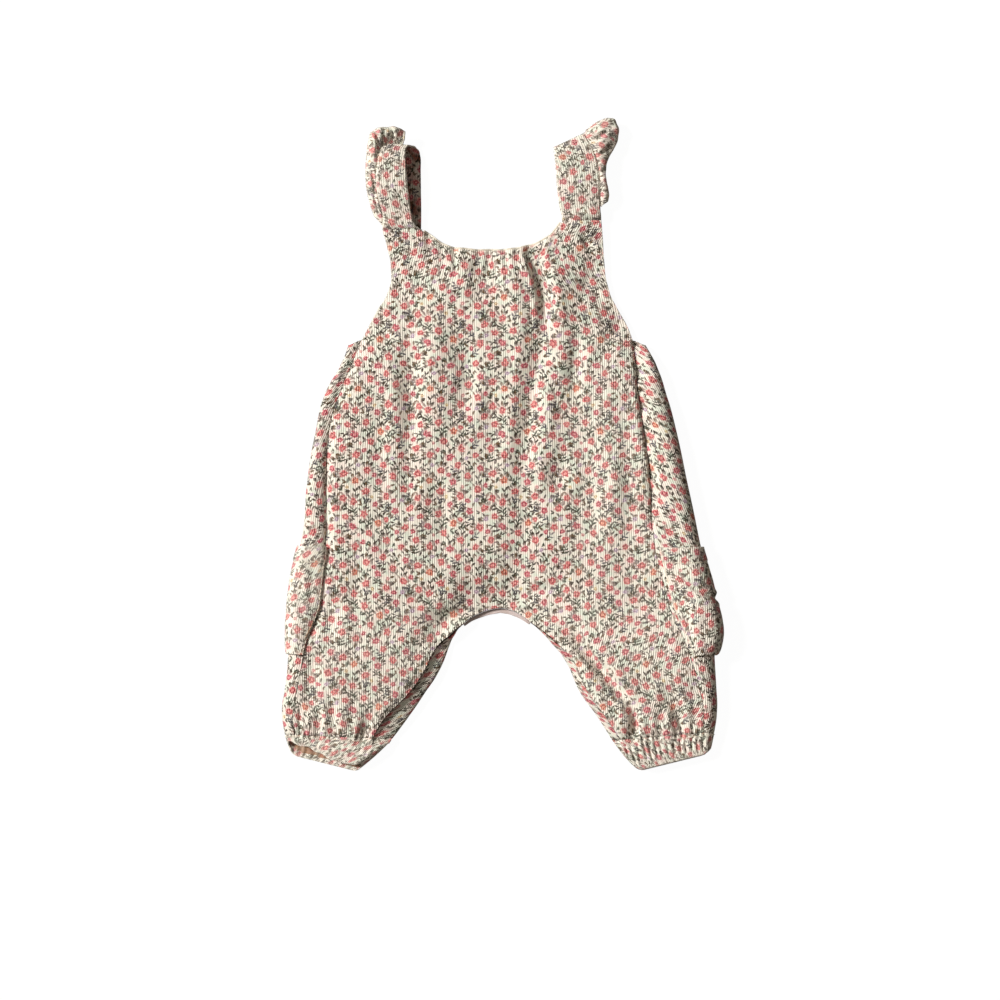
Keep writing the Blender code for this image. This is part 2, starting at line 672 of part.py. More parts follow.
def floor_row(start, stop, count):
    """Points of the flat underside from a roll inwards: fixed steps, then even ones."""
    length = (stop - start).length
    steps = [POCKET_STEP * (i + 1) for i in range(POCKET_FLOOR_COLUMNS)]
    rest = count - POCKET_FLOOR_COLUMNS
    for i in range(1, rest):
        steps.append(lerp(steps[POCKET_FLOOR_COLUMNS - 1], length, i / rest))
    points = []
    for i, step in enumerate(steps):
        p = start.lerp(stop, step / length)
        p.z = pocket_lift(start.y) if i < POCKET_FLOOR_COLUMNS else 0.0
        points.append(p)
    return points


def back_body_row(loop, corner):
    """One row of the body: left roll, underside, right roll. At a corner it is rounded."""
    left = lifted(roll_over(loop, 0))
    right = lifted(roll_over(loop, 1))
    for roll in (left, right):
        for i, p in enumerate(roll):
            p.y -= ARM_ROUND * corner * sin(pi / 2 * min(i / ROLL_TOP, 1.0)) ** 2
    y = loop.a[1]
    middle = Vector((CROTCH[0], y, 0.0))
    starts = [Vector((roll[-1].x, y, 0.0)) for roll in (left, right)]
    floors = [floor_row(start, middle, FLOOR_HALF) for start in starts]
    return left + floors[0] + [middle] + floors[1][::-1] + right[::-1]


def inner_end(loop):
    """A leg's inner side: flat at the crotch, and lower down curled up over to its seam."""
    seam = loop.seams[1] - SEAM_GAP / 2
    end_z = loop.top(loop.length - seam)
    depth = ROLL_SHARE * loop.thick[1]
    middle = min(loop.thick[1], end_z) / 2
    profile = [Vector((max(depth, INNER_REACH), 0))]
    for t in np.linspace(0, pi / 2, CURVE_POINTS):
        profile.append(Vector((depth * (1 - sin(t)), middle * (1 - cos(t)))))
    for t in np.linspace(0, pi / 2, CURVE_POINTS)[1:]:
        profile.append(Vector((seam * (1 - cos(t)), lerp(middle, end_z, sin(t)))))
    bent = [Vector((0, 0))]
    curled = resample(profile, INNER_STEPS)
    for p, q in zip(curled, curled[1:]):
        heading = atan2(q.y - p.y, p.x - q.x) * loop.shut[1]
        step = (q - p).length
        bent.append(bent[-1] + Vector((-step * cos(heading), step * sin(heading))))
    nearest = min(p.x for p in bent)
    squash = min(1.0, end_z / max(bent[-1].y, 0.1))
    points = []
    for p in bent:
        x, y = loop.plan(loop.length - p.x + nearest)
        points.append(Vector((x, y, p.y * squash)))
    return points


def back_leg_row(loop):
    """One row of a leg from its outer seam under it to its inner seam."""
    outer = lifted(roll_over(loop, 0))
    inner = inner_end(loop)
    start = Vector((outer[-1].x, outer[-1].y, 0.0))
    return outer + floor_row(start, inner[0], FLOOR_HALF - INNER_STEPS) + inner


def back_bodice_row(loop):
    """A flat row of the back above the armhole corners, just inside the front's outline."""
    row = []
    middle = (CROTCH[0] - loop.a[0]) / loop.length
    for w in np.linspace(0, 1, FLOOR_HALF * 2 + 1):
        share = w + (middle - 0.5) * sin(pi * w)
        x = lerp(loop.a[0] + BACK_INSET, loop.b[0] - BACK_INSET, share)
        between = min(max((x - NECK_LEFT_X) / (NECK_RIGHT_X - NECK_LEFT_X), 0.0), 1.0)
        drop = BACK_TOP_DROP + BACK_NECK_DROP * sin(pi * between) ** 2
        row.append(Vector((x, along_top_edge(x, loop.a[1], drop), 0.0)))
    return row


def grid_mesh(name, patches):
    """A mesh of quads over patches, each a list of rows of points; shared points are joined."""
    bm = bmesh.new()
    made = {}

    def vertex(point):
        key = tuple(round(c, 4) for c in point)
        if key not in made:
            made[key] = bm.verts.new([c * MM for c in point])
        return made[key]

    for rows in patches:
        for above, below in zip(rows, rows[1:]):
            for c in range(len(above) - 1):
                corners = [vertex(p) for p in (above[c], below[c], below[c + 1], above[c + 1])]
                bm.faces.new(list(dict.fromkeys(corners)))
    mesh = bpy.data.meshes.new(name)
    bm.to_mesh(mesh)
    bm.free()
    return mesh


def sheet(name, patches, material, collection, wall=WALL):
    """A named piece of cloth: an open outer face with its wall grown inwards."""
    mesh = grid_mesh(name, patches)
    mesh.materials.append(material)
    obj = bpy.data.objects.new(name, mesh)
    collection.objects.link(obj)
    solid = obj.modifiers.new("wall", "SOLIDIFY")
    solid.thickness = wall * MM
    solid.offset = -1.0
    mesh.shade_smooth()
    return obj


def make_front(material, collection):
    body, left, right = front_rows()
    middle = FRONT_HALF
    left_rows = [body[-1][: middle + 1]] + left
    right_rows = [body[-1][middle:]] + right
    return sheet("front_panel", [body, left_rows, right_rows], material, collection)


def back_rows():
    """Outer-face rows of the back, facing down: bodice, body, left leg and right leg."""
    corners = [max(0.0, 1 - i / ARM_ROUND_ROWS) for i in range(BODY_ROWS + 1)]
    body = [back_body_row(loop, corner) for loop, corner in zip(body_loops(), corners)]
    rolls = ROLL_TOP + ROLL_UNDER
    bodice = [back_bodice_row(loop) for loop in bodice_loops()] + [body[0][rolls:-rolls]]
    left = [back_leg_row(loop) for loop in leg_loops(LEFT_LEG)]
    right = [back_leg_row(loop)[::-1] for loop in leg_loops(RIGHT_LEG)]
    return bodice, body, left, right


def flipped(rows):
    """The same rows run the other way, so that the faces turn over."""
    return [row[::-1] for row in rows]


def make_back(material, collection):
    bodice, body, left, right = back_rows()
    middle = ROLL_TOP + ROLL_UNDER + FLOOR_HALF
    left_rows = [body[-1][: middle + 1]] + left
    right_rows = [body[-1][middle:]] + right
    patches = [flipped(rows) for rows in (bodice, body, left_rows, right_rows)]
    return sheet("back_panel", patches, material, collection)


def ribbon_row(row, count, crown):
    """Points across a strap, gently crowned on the run that shows."""
    left, right = Vector(row[:3]), Vector(row[3:])
    out = []
    for w in np.linspace(0, 1, count + 1):
        p = left.lerp(right, w)
        p.z += crown * sin(pi * w)
        out.append(p)
    return out


STRAP_COLUMNS = 8
STRAP_FLAT_TO = 3.0         # a strap leaves the front's edge level, this far
STRAP_CROWN = 1.0           # how far the run that shows is crowned across
STRAP_CROWNED_OVER = 6.0    # the height that tells that run from the one on the surface
STRAP_BACK_INSETS = (2.4, 1.0)  # how far its edges lie inside, where it meets the back
EDGE_CLEAR = 0.3            # a panel's own point this close to a strap's edge is left out


def panel_edge(row, x0, x1, dy):
    """The part of a panel's edge row between two places across, moved up by a seam's gap."""
    x0, x1 = max(x0, row[0].x), min(x1, row[-1].x)
    inside = [p for p in row if x0 + EDGE_CLEAR < p.x < x1 - EDGE_CLEAR]
    ends = []
    for x in (x0, x1):
        for p, q in zip(row, row[1:]):
            if p.x <= x <= q.x and q.x > p.x:
                ends.append(p.lerp(q, (x - p.x) / (q.x - p.x)))
                break
    points = [ends[0]] + inside + [ends[-1]]
    return [p + Vector((0, dy, 0)) for p in resample(points, STRAP_COLUMNS)]


def strap_rows(table, x0, x1):
    """All rows of a strap, from the front's top edge over the shoulder to the back's."""
    front_edge = front_rows()[0][0]
    back_edge = back_rows()[0][0]
    rows = [panel_edge(front_edge, x0, x1, gap) for gap in (STRAP_GAP, STRAP_FLAT_TO)]
    for row in table:
        crown = STRAP_CROWN if row.lz > STRAP_CROWNED_OVER else 0.0
        rows.append(ribbon_row(row, STRAP_COLUMNS, crown))
    left_inset, right_inset = STRAP_BACK_INSETS
    rows.append(panel_edge(back_edge, x0 + left_inset, x1 - right_inset, BACK_SEAM_GAP))
    return rows


def denser(rows, steps):
    """Rows with smooth rows added between them: steps rows for each given one."""
    out = []
    stations = np.arange(len(rows))
    count = len(rows[0])
    for t in np.linspace(0, len(rows) - 1, (len(rows) - 1) * steps + 1):
        made = []
        for c in range(count):
            made.append(Vector([hermite(stations, [r[c][k] for r in rows], t) for k in range(3)]))
        out.append(made)
    return out


STRAPS = {
    "strap_left": (LEFT_STRAP, -85.8, -58.4),
    "strap_right": (RIGHT_STRAP, 44.2, 71.2),
}


def make_strap(name, material, collection):
    table, x0, x1 = STRAPS[name]
    rows = strap_rows(table, x0, x1)
    for row in rows:
        for p in row:
            p.z = max(p.z, 0.0)
    return sheet(name, [flipped(rows)], material, collection)


def ruffle_rows(table, steps, columns):
    """Rows of a ruffle: each runs from the strap seam over its crest to the rim."""
    rows = []
    for row in table:
        seam, crest, rim = Vector(row[:3]), Vector(row[3:6]), Vector(row[6:])
        across = []
        for w in np.linspace(0, 1, columns + 1):
            across.append((1 - w) ** 2 * seam + 2 * w * (1 - w) * crest + w * w * rim)
        rows.append(across)
    rows = denser(rows, steps)
    for i, row in enumerate(rows):
        phase = sin(2 * pi * RUFFLE_WAVES * i / (len(rows) - 1))
        for c, p in enumerate(row):
            p.z += RUFFLE_WAVE * phase * (c / columns)
    return rows


RUFFLE_COLUMNS = 5
RUFFLE_STEPS = 3


def make_ruffle(name, table, flip, material, collection):
    rows = ruffle_rows(table, RUFFLE_STEPS, RUFFLE_COLUMNS)
    rows = flipped(rows) if flip else rows
    return sheet(name, [rows], material, collection, RUFFLE_WALL)


def cuff_ring(size, v, points):
    """A closed ring of the cuff, v from the leg (0) to the mouth (1), outer face."""
    a = [lerp(size.top_out[k], size.mouth_out[k], v) for k in (0, 1)]
    b = [lerp(size.top_in[k], size.mouth_in[k], v) for k in (0, 1)]
    thick = lerp(size.thick, size.mouth_thick, v)
    loop = Loop(a, b, (0, 0), (thick, thick), thick, (1.0, 1.0))
    outline = []
    for up in (1, -1):
        for i in range(CUFF_RING_STEPS):
            d = loop.length * (0.5 - 0.5 * up * cos(pi * i / CUFF_RING_STEPS))
            roll = loop.roll(0, d) * loop.roll(1, loop.length - d)
            x, y = loop.plan(d)
            z = thick / 2 * (1 + roll * up)
            lip = lerp(size.lip_out, size.lip_in, smoothstep(d / loop.length * CUFF_LIP_REACH))
            outline.append(Vector((x, y + lip * v * smoothstep(z / thick), z)))
    return resample(outline + [outline[0]], points)[:-1]


def cuff_rows(size):
    """The cuff's rings, each gathered into ridges except where it rests."""
    points = size.ridges * CUFF_POINTS_PER_RIDGE
    rows = []
    for r in range(CUFF_ROWS + 1):
        v = r / CUFF_ROWS
        ring = cuff_ring(size, v, points)
        moved = []
        for i, p in enumerate(ring):
            along = (ring[(i + 1) % points] - ring[i - 1]).normalized()
            wave = 0.5 - 0.5 * cos(2 * pi * i / CUFF_POINTS_PER_RIDGE)
            raised = smoothstep((p.z - CUFF_FLAT_TO) / (CUFF_RIDGES_FROM - CUFF_FLAT_TO))
            strength = lerp(CUFF_RIDGE_AT_LEG, 1.0, v) * lerp(CUFF_RIDGE_AT_SIDE, 1.0, abs(along.x))
            moved.append(p - Vector((0, 0, CUFF_RIDGE * strength * wave * raised)))
        rows.append(moved)
    return rows


def make_cuff(name, material, collection):
    size = CUFFS[name]
    rows = [row + [row[0]] for row in cuff_rows(size)]
    if size.top_out[0] > 0:
        rows = flipped(rows)
    return sheet(name, [rows], material, collection, CUFF_WALL)


def normals(rows):
    """The outward direction at each point of a grid of rows."""
    out = []
    for r, row in enumerate(rows):
        line = []
        for c in range(len(row)):
            down = rows[min(r + 1, len(rows) - 1)][c] - rows[max(r - 1, 0)][c]
            across = row[min(c + 1, len(row) - 1)] - row[max(c - 1, 0)]
            line.append(down.cross(across).normalized())
        out.append(line)
    return out


def side_grid(side):
    """The back panel's own points beside one side seam, row by row, from the seam inwards."""
    _, body, left, right = back_rows()
    columns = ROLL_TOP + ROLL_UNDER + POCKET_FLOOR_COLUMNS + 1
    if side < 0:
        return [row[:columns] for row in body + left]
    return [row[::-1][:columns] for row in body + right]


def cut_across(rows, y):
    """The row of a grid at a height: between the two rows that pass it."""
    for above, below in zip(rows, rows[1:]):
        if above[0].y >= y > below[0].y:
            t = (above[0].y - y) / (above[0].y - below[0].y)
            return [p.lerp(q, t) for p, q in zip(above, below)]
    return rows[-1]


def pocket_rows(size):
    """The pocket's outer face: the back panel's own points beside the seam, moved outwards."""
    grid = side_grid(size.side)
    lowest, highest = size.bottom_y + POCKET_ROW_ROOM, size.top_y - POCKET_ROW_ROOM
    inside = [row for row in grid if lowest < row[0].y < highest]
    rows = [cut_across(grid, size.top_y)] + inside + [cut_across(grid, size.bottom_y)]
    for row in rows:
        step = row[1] - row[0]
        row[0] = row[0] + step * min(size.from_seam / step.length, POCKET_FIRST_STEP)
    faces = normals(rows)
    moved = []
    for r, row in enumerate(rows):
        line = []
        for c, p in enumerate(row):
            out = faces[r][c] * size.side
            u, v = c / (len(row) - 1), r / (len(rows) - 1)
            across = sin(pi * min(u * PUFF_ACROSS, 1.0)) ** 2
            down = sin(pi * v**PUFF_DOWN) ** PUFF_BLUNT
            puff = size.bulge * across * down * smoothstep(p.z / PUFF_UP_TO)
            q = p + out * (POCKET_LIFT + puff)
            q.z = max(q.z, 0.0)
            line.append(q)
        moved.append(line)
    return moved


def make_pocket(name, material, collection):
    size = POCKETS[name]
    rows = pocket_rows(size)
    rows = flipped(rows) if size.side < 0 else rows
    return sheet(name, [rows], material, collection)


BINDING_RADIUS = 0.8
BINDING_POINTS = 26
BINDING_INSET = 1.0         # it stops this short of each strap


def make_binding(material, collection):
    """The rolled edge along the front's neckline: a thin cord just above the panel's edge."""
    curve = bpy.data.curves.new("neck_binding", "CURVE")
    curve.dimensions = "3D"
    curve.bevel_depth = BINDING_RADIUS * MM
    curve.bevel_resolution = 2
    curve.use_fill_caps = True
    edge = front_rows()[0][0]
    first, last = NECK_LEFT_X + BINDING_INSET, NECK_RIGHT_X - BINDING_INSET
    line = [p for p in edge if first < p.x < last]
    line = resample(line, BINDING_POINTS)
    spline = curve.splines.new("POLY")
    spline.points.add(len(line) - 1)
    clear = BINDING_RADIUS + SEAM_GAP
    for i, p in enumerate(line):
        along = (line[min(i + 1, len(line) - 1)] - line[max(i - 1, 0)]).normalized()
        up = Vector((-along.y, along.x, 0)).normalized()
        q = p + up * clear - Vector((0, 0, WALL / 2))
        spline.points[i].co = [c * MM for c in q] + [1]
    curve.materials.append(material)
    obj = bpy.data.objects.new("neck_binding", curve)
    collection.objects.link(obj)
    return obj


BAND_WIDTH = 3.0
BAND_ROWS = 3           # how many of each leg's rows it passes
BAND_COLUMNS = 14
BAND_TIP = 0.06         # the share of its length by which the band's taper is cut short


def make_band(material, collection):
    """The pale crotch edge of the back that shows below the front: a narrow laid strip."""
    _, _, left, right = back_rows()
    arch = [row[-1] for row in left[:BAND_ROWS]][::-1] + [Vector((*CROTCH, 0))]
    arch += [row[0] for row in right[:BAND_ROWS]]
    arch = resample([Vector((p.x, p.y, 0)) for p in arch], BAND_COLUMNS)
    inner, outer = [], []
    for i, p in enumerate(arch):
        along = (arch[min(i + 1, BAND_COLUMNS)] - arch[max(i - 1, 0)]).normalized()
        out = Vector((along.y, -along.x, 0))
        share = lerp(BAND_TIP, 1 - BAND_TIP, i / BAND_COLUMNS)
        width = BAND_WIDTH * sqrt(sin(pi * share))
        inner.append(p + out * SEAM_GAP)
        outer.append(p + out * (SEAM_GAP + width))
    return sheet("crotch_band", [flipped([inner, outer])], material, collection, BAND_WALL)


def make_material(name, colour):
    material = bpy.data.materials.new(name)
    material.use_nodes = True
    shader = material.node_tree.nodes["Principled BSDF"]
    shader.inputs["Base Color"].default_value = (*colour, 1)
    shader.inputs["Roughness"].default_value = 0.9
    shader.inputs["Metallic"].default_value = 0.0
    return material


def main():
    for obj in list(bpy.data.objects):
        bpy.data.objects.remove(obj, do_unlink=True)
    collection = bpy.data.collections.new("baby_overalls")
    bpy.context.scene.collection.children.link(collection)
    materials = {name: make_material(name, colour) for name, colour in COLOURS.items()}
    make_front(materials["cord_front"], collection)
    make_back(materials["cord_back"], collection)
    for name in STRAPS:
        make_strap(name, materials["cord_trim"], collection)
    make_ruffle("ruffle_left", LEFT_RUFFLE, False, materials["cord_trim"], collection)
    make_ruffle("ruffle_right", RIGHT_RUFFLE, True, materials["cord_trim"], collection)
    for name in POCKETS:
        make_pocket(name, materials["cord_trim"], collection)
    for name in CUFFS:
        make_cuff(name, materials["cord_trim"], collection)
    make_binding(materials["binding"], collection)
    make_band(materials["band"], collection)


main()
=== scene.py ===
"""Looks of the baby overalls: flower-printed needlecord, laid flat with the front up.

Sizes are in millimetres until a mesh is made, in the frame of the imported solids: X runs across
the garment, Y from the cuffs to the shoulders, and Z up from the surface it lies on. Each piece
of cloth is a thin shell drawn as its outer face on the form of its solid, with finer creases,
gathers and edges. Its flat cloth coordinates, in metres, are its UV map: the wales run along V,
and the print is laid out on the same coordinates.
"""

import json
import logging
from dataclasses import dataclass, field
from enum import Enum
from math import pi
from typing import NamedTuple

import bpy
import numpy as np
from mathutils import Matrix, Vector, noise

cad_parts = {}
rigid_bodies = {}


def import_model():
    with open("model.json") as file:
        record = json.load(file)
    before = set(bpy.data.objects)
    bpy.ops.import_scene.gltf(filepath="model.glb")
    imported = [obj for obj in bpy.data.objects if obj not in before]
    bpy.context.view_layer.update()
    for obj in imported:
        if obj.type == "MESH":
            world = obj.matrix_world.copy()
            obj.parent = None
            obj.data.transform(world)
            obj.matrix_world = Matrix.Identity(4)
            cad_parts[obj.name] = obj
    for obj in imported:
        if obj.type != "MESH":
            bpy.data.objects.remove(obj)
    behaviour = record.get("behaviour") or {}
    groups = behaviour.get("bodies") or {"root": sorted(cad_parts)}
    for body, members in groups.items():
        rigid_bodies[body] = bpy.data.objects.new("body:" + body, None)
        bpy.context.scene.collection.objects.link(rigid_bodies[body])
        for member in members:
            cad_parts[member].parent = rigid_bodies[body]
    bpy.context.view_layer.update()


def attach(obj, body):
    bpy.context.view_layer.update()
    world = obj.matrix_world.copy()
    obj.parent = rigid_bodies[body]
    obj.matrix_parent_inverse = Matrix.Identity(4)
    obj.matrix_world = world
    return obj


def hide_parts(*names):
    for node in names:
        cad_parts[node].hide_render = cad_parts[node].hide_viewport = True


log = logging.getLogger("overalls")

MM = 0.001

# Sizes shared with the solids, mm
LAID_EDGE = 3.6
LEG_EDGE = 9.6
CROTCH = (-1.4, -117.4)
CROTCH_REACH = 26.0
CROTCH_THICK = 4.0
SEAM_DIP = 1.9
DIP_WIDTH = 4.0
DIP_FROM = 0.5
DIP_FULL = 6.0
EDGE_RISE = 13.0
RISE_POWER = 1.5
SIDE_REACH = 36.0
ROLL_SHARE = 0.62
POCKET_LIFT = 1.75
POCKET_FLOOR = 26.0
INNER_REACH = 6.0
INNER_STEP = 2.6
INNER_MIDDLE = 0.42
CURLED_BY = 3.0
CORNER_SHUT = 0.55
CORNER_SPAN = 6.0
NECK_LEFT_X = -57.6
NECK_RIGHT_X = 43.2
BACK_NECK_DROP = 13.0
BACK_TOP_DROP = 5.0
BACK_INSET = 1.8
ARM_ROUND = 3.0

# Fine grid, number of faces
FRONT_HALF = 84
BODICE_ROWS = 50
BODY_ROWS = 114
LEG_ROWS = 62
LEG_ROW_POWER = 1.25
ROLL_TOP = 14
ROLL_UNDER = 9
FLOOR_HALF = 48
INNER_STEPS = 22
POCKET_FLOOR_COLUMNS = 12
POCKET_FINER = 3
SEAM_GAP = 0.12
CREASE_WIDTHS = ((1.2, 4.5), (7.0, 1.1))
LEFT_CREASE = 1.6
RIGHT_CREASE = 3.4
FALLING_CURVE = 1.55
FLUSH = 0.2
CLOTH_WALL = 1.2
TURNED_HEM = 4.6


class Side(Enum):
    """A side of the garment as it lies, with its direction along X."""

    LEFT = -1
    RIGHT = 1


class Held(Enum):
    """How a sheet of cloth is held."""

    LAID = "laid"
    FOLDED = "folded"
    GATHERED = "gathered"


class BodySection(NamedTuple):
    """One section round the body. Above the side seams its edges are the armholes."""

    y: float
    out_l: float
    seam_l: float
    seam_r: float
    out_r: float
    thick_l: float
    thick_r: float
    crown: float


class LegSection(NamedTuple):
    """One section round a leg, from its outer outline to its inner outline."""

    share: float
    out_x: float
    out_y: float
    seam_out: float
    in_x: float
    in_y: float
    seam_in: float
    thick_out: float
    thick_in: float
    crown: float
    shut_in: float


ARMHOLES = [
    #           y     out_l   seam_l  seam_r  out_r  thick_l thick_r crown
    BodySection(154.5, -86.2, -86.2, 71.6, 71.6, 4, 4, 5.8),
    BodySection(141, -82.6, -82.6, 72.8, 72.8, 4.5, 5, 7.2),
    BodySection(126, -80.2, -80.2, 73.9, 73.9, 5, 5.5, 7.8),
    BodySection(111, -82, -82, 76.4, 76.4, 5, 6, 8.4),
    BodySection(98, -89.4, -89.4, 82.2, 82.2, 5.5, 6.5, 8.8),
    BodySection(86, -95.8, -95.8, 89.6, 89.6, 6, 7, 9.2),
]

SIDES = [
    BodySection(75, -110.6, -101.4, 94.4, 103.4, 6.8, 8, 9.4),
    BodySection(56, -117, -109, 96.6, 111.8, 8, 11, 9.8),
    BodySection(37, -127.4, -116.6, 98.2, 118.2, 8.8, 12.5, 10.2),
    BodySection(10, -134.2, -124.2, 102.2, 125.6, 9.6, 14, 10.6),
    BodySection(-24, -140, -126.6, 106.6, 132.8, 10.4, 15, 11),
    BodySection(-46, -141.8, -126.8, 107.6, 137.6, 11, 15.5, 11.2),
    BodySection(-67, -144.2, -126.8, 109.2, 141.8, 11.6, 16, 11.4),
    BodySection(-90, -149.8, -127.6, 113.8, 146.4, 12.4, 16, 11.6),
    BodySection(-117.4, -152.8, -130.6, 120.6, 150, 13, 16, 11.8),
]

LEFT_LEG = [
    #          share out_x   out_y   seam_out in_x  in_y   seam_in thick_out thick_in crown shut_in
    LegSection(0.00, -152.8, -117.4, 22.2, -1.4, -117.4, 0.6, 13, 4, 11.8, 0.00),
    LegSection(0.08, -153, -121.4, 20.8, -15.2, -121, 0.7, 13, 5, 12.2, 0.06),
    LegSection(0.17, -153.2, -126.8, 18.8, -28, -129.4, 1, 13.2, 7, 13, 0.30),
    LegSection(0.25, -153.4, -132.4, 16.6, -34, -136.8, 3, 13.4, 8.5, 13.8, 0.62),
    LegSection(0.34, -153.6, -140, 14, -37.8, -144.4, 8, 13.6, 10, 14.4, 0.92),
    LegSection(0.50, -154.2, -156, 11, -44.4, -161, 10.6, 14, 12, 15.4, 1.00),
    LegSection(0.67, -156.4, -176, 9.4, -55.4, -178.4, 11.4, 14, 13, 15.6, 1.00),
    LegSection(0.84, -158.4, -192, 8.4, -67.4, -196, 16, 13, 13, 14.4, 1.00),
    LegSection(1.00, -156.4, -208.4, 7, -79, -211.6, 14, 11, 11, 11.4, 1.00),
]

RIGHT_LEG = [
    LegSection(0.00, 150, -117.4, 29.4, -1.4, -117.4, 0.6, 16, 4, 11.8, 0.00),
    LegSection(0.08, 150.6, -121.4, 28.2, 9.6, -120.4, 0.7, 16, 5, 12.4, 0.06),
    LegSection(0.17, 151.2, -126.8, 26.6, 20.7, -128.2, 1, 16, 7, 13.4, 0.30),
    LegSection(0.25, 151.8, -132.4, 24.4, 28.4, -134.8, 2.4, 15.8, 8.5, 14.2, 0.58),
    LegSection(0.34, 152.6, -140, 21.6, 35.2, -142.4, 4, 15.6, 10, 15, 0.86),
    LegSection(0.50, 153.2, -156, 16.4, 46.8, -157.4, 5.6, 15, 12, 16.2, 1.00),
    LegSection(0.67, 154.4, -176, 12, 55.4, -176.8, 5.8, 14, 12.6, 16.4, 1.00),
    LegSection(0.84, 154.8, -192, 9.8, 67.2, -193.6, 5.8, 13, 12.6, 15, 1.00),
    LegSection(1.00, 153, -206.4, 7.4, 79.4, -212.6, 5.8, 11, 11, 11.6, 1.00),
]

TOP_EDGE = [
    (-86.2, 154.5),
    (-71, 155.4),
    (-57.6, 154.2),
    (-42.5, 144.4),
    (-26.6, 141),
    (-8.6, 140.2),
    (7.9, 141),
    (16.6, 142.8),
    (31, 148.4),
    (38.4, 154.6),
    (43.2, 160.6),
    (57, 161.6),
    (71.6, 161.8),
]


class Fold(NamedTuple):
    """A soft trough (depth > 0) or ridge (depth < 0) along a bent line in the front.

    A lean above 0 makes it steeper on its left side, looking up the garment, and below 0 on its
    right side.
    """

    x0: float
    y0: float
    x1: float
    y1: float
    x2: float
    y2: float
    depth: float
    width: float
    lean: float = 0.0


FOLDS = [
    # the deep fold below the neckline, and its long soft tail down the body
    Fold(19, 139, 30, 122, 31.5, 88, 4.6, 4.2, 0.2),
    Fold(31, 92, 21, 35, 15, -18, 2.4, 6.5),
    Fold(14, -14, 21, -62, 8, -104, 1.8, 8),
    # the ridge that stands beside it on the left, and the one on the right
    Fold(8, 136, 12, 100, 12, 66, -1.8, 7),
    Fold(44, 140, 46, 105, 44, 62, -1.2, 9),
    # soft hollows over the bodice and the middle
    Fold(-68, 92, -64, 30, -69, -38, 2.2, 6),
    Fold(-27, 66, -23, 50, -26, 30, 1.8, 5.5),
    Fold(54, 76, 52, 52, 52, 30, 1.8, 4.5),
    Fold(40, -12, 42, -20, 38, -28, 1.8, 6),
    Fold(-44, 118, -50, 70, -46, 10, -1.4, 9),
    Fold(74, 20, 78, -30, 82, -80, -1.6, 12),
    # slanted creases from the right strap towards the armhole
    Fold(58, 151, 62, 146, 64.5, 142, 2.2, 2.6),
    Fold(57, 116, 66, 111, 72, 105, 1.6, 3.4),
    # legs: the right one falls in two long troughs to its cuff, the left one is fuller
    Fold(48, -135, 74, -166, 94, -190, 3.6, 5),
    Fold(94, -188, 97, -202, 92, -214, 3, 4.6),
    Fold(119, -178, 128, -194, 129, -208, 2.6, 4.4),
    Fold(-136, -150, -139, -168, -137, -186, 1.6, 6),
    Fold(-122, -112, -124, -124, -123, -140, 1.5, 6),
    Fold(-20, -106, -40, -128, -62, -150, 1.8, 7),
    Fold(-96, -196, -98, -206, -99, -216, 2.8, 4.6),
]

